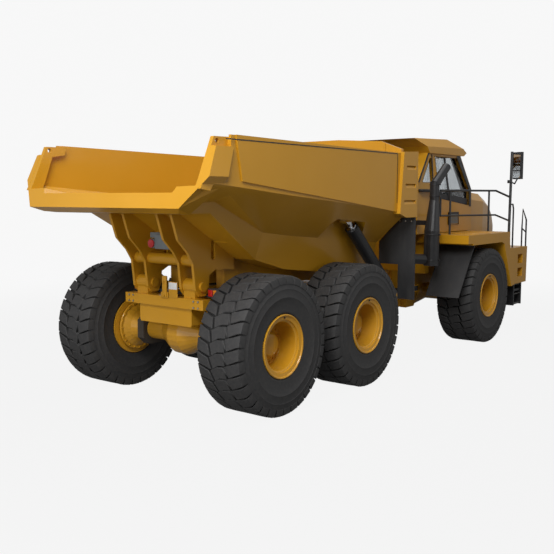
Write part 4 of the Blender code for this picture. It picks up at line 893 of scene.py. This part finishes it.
class DUMPTRUCK_OT_seat(bpy.types.Operator):
    """Padded driver's seat on its base"""

    bl_idname = "dumptruck.seat"
    bl_label = "Make the seat"

    def cushion(self, name, low, high, crown):
        """A crowned pad: a subdivided block whose middle swells and whose edges round over."""
        low, high = Vector(low), Vector(high)
        middle, half = (low + high) / 2.0, (high - low) / 2.0
        bm = bmesh.new()
        bmesh.ops.create_cube(bm, size=2.0)
        bmesh.ops.subdivide_edges(bm, edges=bm.edges, cuts=9, use_grid_fill=True)
        for vert in bm.verts:
            x, y, z = vert.co
            swell = crown * (1.0 - x * x * 0.6) * (1.0 - y * y * 0.6) * (1.0 - z * z * 0.3)
            near = max(abs(x), abs(y)) if half.z < half.x else max(abs(y), abs(z))
            channel = 0.012 * math.exp(-((abs(y) - 0.55) * 14.0) ** 2)
            pull = 1.0 - 0.06 * near ** 4
            vert.co = Vector((x * half.x * pull, y * half.y * pull, z * half.z * pull))
            out = vert.normal if vert.normal.length else Vector((x, y, z)).normalized()
            vert.co += out * (swell * half.length * 0.10 - channel)
            vert.co += middle
        for _ in range(2):
            bmesh.ops.smooth_vert(
                bm, verts=bm.verts, factor=0.5, use_axis_x=True, use_axis_y=True, use_axis_z=True
            )
        shape = Shape()
        shape.bm.free()
        shape.bm = bm
        item = shape.done(name, "front_frame", "seat_cloth", smooth=60.0)
        modifier = item.modifiers.new("soft", "SUBSURF")
        modifier.levels = modifier.render_levels = 1
        return item

    def execute(self, context):
        low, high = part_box("operator_seat")
        mid_y = (low[1] + high[1]) / 2.0
        half = (high[1] - low[1]) / 2.0
        seat_z = low[2] + (high[2] - low[2]) * 0.40
        back_x, front_x = low[0], high[0]

        def across(near, far, share, bottom, top):
            """Corners of a block that takes a share of the seat's width."""
            return (near, mid_y - half * share, bottom), (far, mid_y + half * share, top)

        base = Shape()
        base.box(*across(back_x + 0.08, front_x - 0.10, 0.6, low[2], low[2] + 0.06), 0.01)
        base.box(*across(back_x + 0.12, front_x - 0.14, 0.5, low[2] + 0.05, seat_z - 0.12), 0.03)
        base.box(*across(back_x + 0.04, front_x - 0.03, 0.85, seat_z - 0.125, seat_z - 0.085), 0.015)
        for side in (-1, 1):
            arm_y, arm_z = mid_y + side * half * 0.88, seat_z + 0.20
            foot = (back_x + 0.12, mid_y + side * half * 0.80, seat_z - 0.10)
            base.rod((back_x + 0.10, arm_y, arm_z), (back_x + 0.40, arm_y, arm_z), 0.024, 12, bevel=0.008)
            base.rod(foot, (back_x + 0.12, arm_y, arm_z), 0.014, 10)
        base.done("seat_base", "front_frame", "dark_plastic", replaces=["operator_seat"])
        block = across(back_x + 0.10, front_x - 0.01, 0.82, seat_z - 0.08, seat_z + 0.03)
        cushion = self.cushion("seat_cushion", *block, 0.30)
        block = across(back_x + 0.01, back_x + 0.13, 0.78, seat_z + 0.02, high[2] - 0.16)
        back = self.cushion("seat_back", *block, 0.25)
        block = across(back_x + 0.01, back_x + 0.11, 0.45, high[2] - 0.15, high[2] - 0.01)
        rest = self.cushion("head_rest", *block, 0.25)
        return {"FINISHED"}


class DUMPTRUCK_OT_mirrors(bpy.types.Operator):
    """Mirror glass and clamps"""

    bl_idname = "dumptruck.mirrors"
    bl_label = "Glaze the mirrors"

    def execute(self, context):
        for place, side in SIDES:
            normal = Vector((-0.914, -side * 0.406, 0.0))
            across = Vector((side * 0.406, -0.914, 0.0))
            middle = Vector((at(7.42), side * 1.665, 3.29)) + normal * 0.0312
            turn = Matrix((across, normal, Vector((0.0, 0.0, 1.0)))).transposed().to_4x4()
            for name, low, high in (("mirror_glass_", -0.085, 0.235), ("wide_mirror_glass_", -0.235, -0.105)):
                centre = middle + Vector((0.0, 0.0, (low + high) / 2.0))
                half = Vector((0.088, 0.003, (high - low) / 2.0))
                glass = Shape().box(centre - half, centre + half, 0.0, turn)
                glass.done(name + place, "front_frame", "chrome_rod", "mirror_glass")
            x, y = at(7.165), side * 1.60
            clamp = Shape().box((x - 0.035, y - 0.03, 2.95), (x + 0.035, y + 0.03, 3.01), 0.008)
            clamp.done("mirror_clamp_" + place, "front_frame", "black_paint")
        return {"FINISHED"}


class DUMPTRUCK_OT_dump_body(bpy.types.Operator):
    """Dump body whose floor runs level out to the tail before it slopes down"""

    bl_idname = "dumptruck.dump_body"
    bl_label = "Shape the dump body"

    def lift(self, station):
        """How much higher the sloping floor stands than one straight ramp."""
        for (first, low), (last, high) in zip(FLOOR_LIFT, FLOOR_LIFT[1:]):
            if first <= station <= last:
                return low + (high - low) * (station - first) / (last - first)
        return 0.0

    def execute(self, context):
        shape = Shape()
        bm = shape.bm
        bm.from_mesh(NODES["dump_body"].data)
        bmesh.ops.remove_doubles(bm, verts=bm.verts, dist=0.00002)
        for station, _ in FLOOR_LIFT[1:]:
            geom = bm.verts[:] + bm.edges[:] + bm.faces[:]
            bmesh.ops.bisect_plane(bm, geom=geom, plane_co=(at(station), 0.0, 0.0), plane_no=(1.0, 0.0, 0.0))
        for vert in bm.verts:
            station = vert.co.x + REAR_AXLE_X
            ramp = 2.50 - 0.431 * (station + 1.34)
            above = vert.co.z - ramp
            if above > -0.03 and vert.co.z < 2.75:
                vert.co.z += self.lift(station) * max(0.0, min(1.0, (0.50 - above) / 0.40))
        shape.done("shaped_dump_body", "dump_body", "yellow_paint", replaces=["dump_body"], smooth=20.0)
        return {"FINISHED"}


class DUMPTRUCK_OT_roof(bpy.types.Operator):
    """Cab roof with an upright skirt and a top that leans in"""

    bl_idname = "dumptruck.roof"
    bl_label = "Shape the roof"

    def execute(self, context):
        half = CAB_HALF + 0.04
        shape = Shape()
        skirt = [(5.30, 3.467), (6.72, 3.467), (6.84, 3.530), (6.683, 3.609), (5.19, 3.586), (5.25, 3.52)]
        shape.plate(skirt, "side", -half, half, 0.004)
        top = [(5.19, 3.583), (6.683, 3.606), (6.15, 3.757), (4.857, 3.712)]
        before = set(shape.bm.verts)
        shape.plate(top, "side", 0.002 - half, half - 0.002)
        for vert in shape.bm.verts:
            if vert not in before and vert.co.z > 3.65:
                vert.co.y *= 0.90
        shape.done("shaped_roof", "front_frame", "yellow_paint", replaces=["cab_roof"], smooth=20.0)
        return {"FINISHED"}


class DUMPTRUCK_OT_body_trim(bpy.types.Operator):
    """Seams, flap clamps and the lamp under the tail of the dump body"""

    bl_idname = "dumptruck.body_trim"
    bl_label = "Trim the dump body"

    def execute(self, context):
        seams = Shape()
        for side in (-1, 1):
            low, high = sorted((side * 1.6003, side * 1.6030))
            seams.box((at(2.806), low, 2.60), (at(2.818), high, 3.325))
            seams.box((at(-0.98), low, 3.318), (at(2.80), high, 3.330))
        seams.done("panel_seams", "dump_body", "black_paint")
        for place, side in SIDES:
            clamp = Shape()
            low, high = sorted((side * 1.03, side * 1.64))
            clamp.box((at(3.3203), low, 2.29), (at(3.327), high, 2.345), 0.002)
            for index in range(6):
                y = low + 0.05 + index * 0.102
                clamp.rod((at(3.326), y, 2.318), (at(3.336), y, 2.318), 0.012, 6)
                clamp.rod((at(3.2997), y, 2.318), (at(3.292), y, 2.318), 0.012, 6)
            clamp.done("body_flap_clamp_" + place, "dump_body", "black_paint", "bright_steel")
        lamp = Shape()
        lamp.rod((at(-0.60), 0.04, 2.10), (at(-0.575), 0.04, 2.10), 0.055, 20, bevel=0.006)
        lamp.done("tail_lamp_lens", "dump_body", "lamp_plastic", "red_lens")
        housing = Shape()
        housing.rod((at(-0.575), 0.04, 2.10), (at(-0.50), 0.04, 2.10), 0.062, 20, bevel=0.006)
        housing.box((at(-0.57), -0.30, 2.03), (at(-0.47), 0.0, 2.22), 0.012)
        housing.box((at(-0.53), -0.32, 2.17), (at(-0.44), 0.12, 2.24), 0.006)
        housing.done("tail_lamp_housing", "dump_body", "dark_plastic", "grey_plastic")
        return {"FINISHED"}


class DUMPTRUCK_OT_tail(bpy.types.Operator):
    """Upright, blank plate, lenses and beam bolts at the back of the frame"""

    bl_idname = "dumptruck.tail"
    bl_label = "Dress the tail"

    def execute(self, context):
        x = at(-0.4403)
        upright = Shape()
        upright.box((x - 0.030, -0.10, 1.40), (x, -0.02, 1.68), 0.010)
        upright.box((x - 0.018, -0.115, 1.39), (x, 0.015, 1.47), 0.006)
        for z in (1.425, 1.60):
            upright.rod((x - 0.030, -0.06, z), (x - 0.042, -0.06, z), 0.012, 6)
        upright.done("tail_upright", "rear_frame", "yellow_paint")
        holder = Shape().box((x - 0.008, -0.280, 1.40), (x, -0.120, 1.61), 0.004)
        holder.done("plate_holder", "rear_frame", "yellow_paint")
        plate = Shape().box((x - 0.012, -0.274, 1.512), (x - 0.0083, -0.126, 1.600), 0.001)
        plate.done("blank_plate", "rear_frame", "lamp_plastic", "plate_white")
        lenses = (("stop", 0.61, 0.685, "red_lens"), ("turn", 0.695, 0.77, "amber_lens"))
        for place, side in SIDES:
            for name, low, high, finish in lenses:
                first, last = sorted((side * low, side * high))
                lens = Shape().box((at(-0.232), first, 1.432), (at(-0.2203), last, 1.517), 0.004)
                lens.done(name + "_lens_" + place, "rear_frame", "lamp_plastic", finish)
        bolts = Shape()
        for y in (-0.64, -0.56, 0.56, 0.64):
            for z in (1.305, 1.385):
                bolts.rod((x, y, z), (x - 0.012, y, z), 0.014, 6)
        bolts.done("tail_beam_bolts", "rear_frame", "cast_iron", "bright_steel")
        return {"FINISHED"}


class DUMPTRUCK_OT_axles(bpy.types.Operator):
    """Flanges and bolts on the axle drums"""

    bl_idname = "dumptruck.axles"
    bl_label = "Dress the axles"

    def execute(self, context):
        ring = [(0.2955, 0.0), (0.330, 0.0), (0.336, 0.006), (0.336, 0.024), (0.330, 0.030), (0.2955, 0.030)]
        axles = (("front", 6.236, "front_frame"), ("mid", 1.966, "rear_frame"), ("rear", 0.0, "rear_frame"))
        for name, station, body in axles:
            item = Shape()
            for side in (-1, 1):
                centre = Vector((at(station), side * 0.9535, AXLE_Z))
                item.turned(ring, centre, side, 48)
                before = set(item.bm.verts)
                bolt = centre + Vector((0.0, 0.0, 0.314))
                item.rod(bolt, bolt - Vector((0.0, side * 0.014, 0.0)), 0.012, 6)
                item.ring_copies(before, centre, 20)
            item.done("drum_flanges_" + name, body, "yellow_paint")
        return {"FINISHED"}


class DUMPTRUCK_OT_exhaust(bpy.types.Operator):
    """Bands and elbow of the exhaust"""

    bl_idname = "dumptruck.exhaust"
    bl_label = "Dress the exhaust"

    def execute(self, context):
        y = -1.15
        item = Shape()
        turns = [index * math.pi / 16.0 for index in range(32)]
        for station, z, radius in EXHAUST_BANDS:
            x, reach = at(station), radius + 0.004
            item.pipe([(x + reach * math.cos(a), y + reach * math.sin(a), z) for a in turns], 0.007, True)
            item.box((x - 0.02, y - reach - 0.024, z - 0.012), (x + 0.02, y - reach, z + 0.012), 0.003)
        elbow = [(4.80, -1.10, 1.612), (4.66, -0.985, 1.618), (4.56, -0.93, 1.620)]
        elbow += [(4.47, -0.89, 1.610), (4.42, -0.86, 1.580), (4.41, -0.84, 1.530)]
        item.pipe([(at(station), out, z) for station, out, z in elbow], 0.088)
        item.done("exhaust_bands", "front_frame", "black_paint")
        return {"FINISHED"}


class DUMPTRUCK_OT_hood(bpy.types.Operator):
    """Grille, side louvres, latches and headlamp bezels"""

    bl_idname = "dumptruck.hood"
    bl_label = "Dress the hood"

    def execute(self, context):
        x = at(9.1506)
        border = [(-0.36, 1.48), (0.36, 1.48), (0.36, 1.98), (-0.36, 1.98)]
        surround = Shape().frame(border, "front", x, x + 0.022, 0.03)
        for index in range(9):
            z = 1.535 + index * 0.049
            surround.box((x, -0.335, z - 0.006), (x + 0.016, 0.335, z + 0.012), 0.002)
        for y in (-0.17, 0.0, 0.17):
            surround.box((x, y - 0.008, 1.50), (x + 0.013, y + 0.008, 1.96))
        surround.done("grille", "hood", "black_paint")
        backing = Shape().box((x, -0.34, 1.50), (x + 0.004, 0.34, 1.96))
        backing.done("grille_mesh", "hood", "black_paint", "dark_plastic")
        for place, side in SIDES:
            louvres = Shape()
            for index in range(9):
                station = 7.48 + index * 0.055
                y = side * (0.72 - 0.04 * (station - 7.26) / 0.84)
                low, high = sorted((y - side * 0.004, y + side * 0.012))
                louvres.box((at(station), low, 1.50), (at(station + 0.030), high, 1.94), 0.004)
            louvres.done("hood_louvres_" + place, "hood", "yellow_paint")
            latch = Shape()
            for station in (7.34, 8.20):
                y = side * (0.722 - 0.04 * max(0.0, station - 7.26) / 0.84)
                low, high = sorted((y - side * 0.002, y + side * 0.018))
                latch.box((at(station), low, 1.47), (at(station + 0.05), high, 1.57), 0.005)
            latch.done("hood_latches_" + place, "hood", "black_paint")
            low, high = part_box("headlamp_" + place)
            y0, y1, z0, z1 = low[1] + 0.002, high[1] - 0.002, low[2] + 0.002, high[2] - 0.002
            face = high[0] + 0.0003
            border = [(y0, z0), (y1, z0), (y1, z1), (y0, z1)]
            lens = Shape().frame(border, "front", face, high[0] + 0.006, 0.012)
            middle = (low[1] + high[1]) / 2.0
            lens.box((face, middle - 0.005, low[2] + 0.01), (high[0] + 0.005, middle + 0.005, high[2] - 0.01))
            lens.done("headlamp_bezel_" + place, "front_frame", "black_paint")
        return {"FINISHED"}


class DUMPTRUCK_OT_deck(bpy.types.Operator):
    """Grip plates, clearance lamps, flap clamps and rung grips at the fenders"""

    bl_idname = "dumptruck.deck"
    bl_label = "Dress the decks"

    def execute(self, context):
        for place, side in SIDES:
            grip = Shape()
            for first, last in ((5.70, 6.35), (6.40, 7.05)):
                low, high = sorted((side * 0.90, side * 1.58))
                grip.box((at(first), low, 2.0203), (at(last), high, 2.0245), 0.002)
                for row in range(8):
                    x = at(first + 0.05 + row * (last - first - 0.1) / 7.0)
                    for column in range(9):
                        y = low + 0.05 + column * (high - low - 0.1) / 8.0
                        grip.box((x - 0.012, y - 0.004, 2.0244), (x + 0.012, y + 0.004, 2.0275))
            grip.done("grip_plate_" + place, "front_frame", "yellow_paint")
            lamps = Shape()
            for z in (1.925, 1.985):
                low, high = sorted((side * 1.585, side * 1.645))
                lamps.box((at(5.588), low, z - 0.022), (at(5.5997), high, z + 0.022), 0.005)
            lamps.done("clearance_lamps_" + place, "front_frame", "lamp_plastic", "amber_lens")
            low, high = sorted((side * 1.02, side * 1.60))
            clamp = Shape().box((at(5.565), low, 1.80), (at(5.575), high, 1.84), 0.002)
            clamp.done("fender_flap_clamp_" + place, "front_frame", "black_paint")
            rungs = Shape()
            low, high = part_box("ladder_" + place)
            for z in (low[2] + 0.03, low[2] + 0.22, low[2] + 0.41):
                rungs.box((low[0] + 0.04, low[1] + 0.01, z), (high[0] - 0.04, high[1] - 0.01, z + 0.004))
            rungs.done("rung_grips_" + place, "front_frame", "cast_iron", "bright_steel")
        return {"FINISHED"}


class DUMPTRUCK_PT_panel(bpy.types.Panel):
    """Sidebar list of the steps that dress the truck"""

    bl_idname = "DUMPTRUCK_PT_panel"
    bl_label = "Dump truck"
    bl_space_type = "VIEW_3D"
    bl_region_type = "UI"
    bl_category = "Dump truck"

    def draw(self, context):
        layout = self.layout
        for group in (context.scene.dumptruck_colours, context.scene.dumptruck_sizes):
            for name in group.__annotations__:
                layout.prop(group, name)
        for item in OPERATORS:
            layout.operator(item.bl_idname)


OPERATORS = (
    DUMPTRUCK_OT_stage,
    DUMPTRUCK_OT_finishes,
    DUMPTRUCK_OT_tyres,
    DUMPTRUCK_OT_rims,
    DUMPTRUCK_OT_cab,
    DUMPTRUCK_OT_seat,
    DUMPTRUCK_OT_mirrors,
    DUMPTRUCK_OT_dump_body,
    DUMPTRUCK_OT_roof,
    DUMPTRUCK_OT_body_trim,
    DUMPTRUCK_OT_tail,
    DUMPTRUCK_OT_axles,
    DUMPTRUCK_OT_exhaust,
    DUMPTRUCK_OT_hood,
    DUMPTRUCK_OT_deck,
)

CLASSES = (TruckColours, TruckSizes, *OPERATORS, DUMPTRUCK_PT_panel)


def register():
    for item in CLASSES:
        bpy.utils.register_class(item)
    bpy.types.Scene.dumptruck_colours = bpy.props.PointerProperty(type=TruckColours)
    bpy.types.Scene.dumptruck_sizes = bpy.props.PointerProperty(type=TruckSizes)


def unregister():
    del bpy.types.Scene.dumptruck_sizes
    del bpy.types.Scene.dumptruck_colours
    for item in reversed(CLASSES):
        bpy.utils.unregister_class(item)


def main():
    register()
    bpy.ops.dumptruck.stage()
    bpy.ops.dumptruck.finishes()
    bpy.ops.dumptruck.tyres()
    bpy.ops.dumptruck.rims()
    bpy.ops.dumptruck.cab()
    bpy.ops.dumptruck.seat()
    bpy.ops.dumptruck.mirrors()
    bpy.ops.dumptruck.dump_body()
    bpy.ops.dumptruck.roof()
    bpy.ops.dumptruck.body_trim()
    bpy.ops.dumptruck.tail()
    bpy.ops.dumptruck.axles()
    bpy.ops.dumptruck.exhaust()
    bpy.ops.dumptruck.hood()
    bpy.ops.dumptruck.deck()


if __name__ == "__main__":
    main()
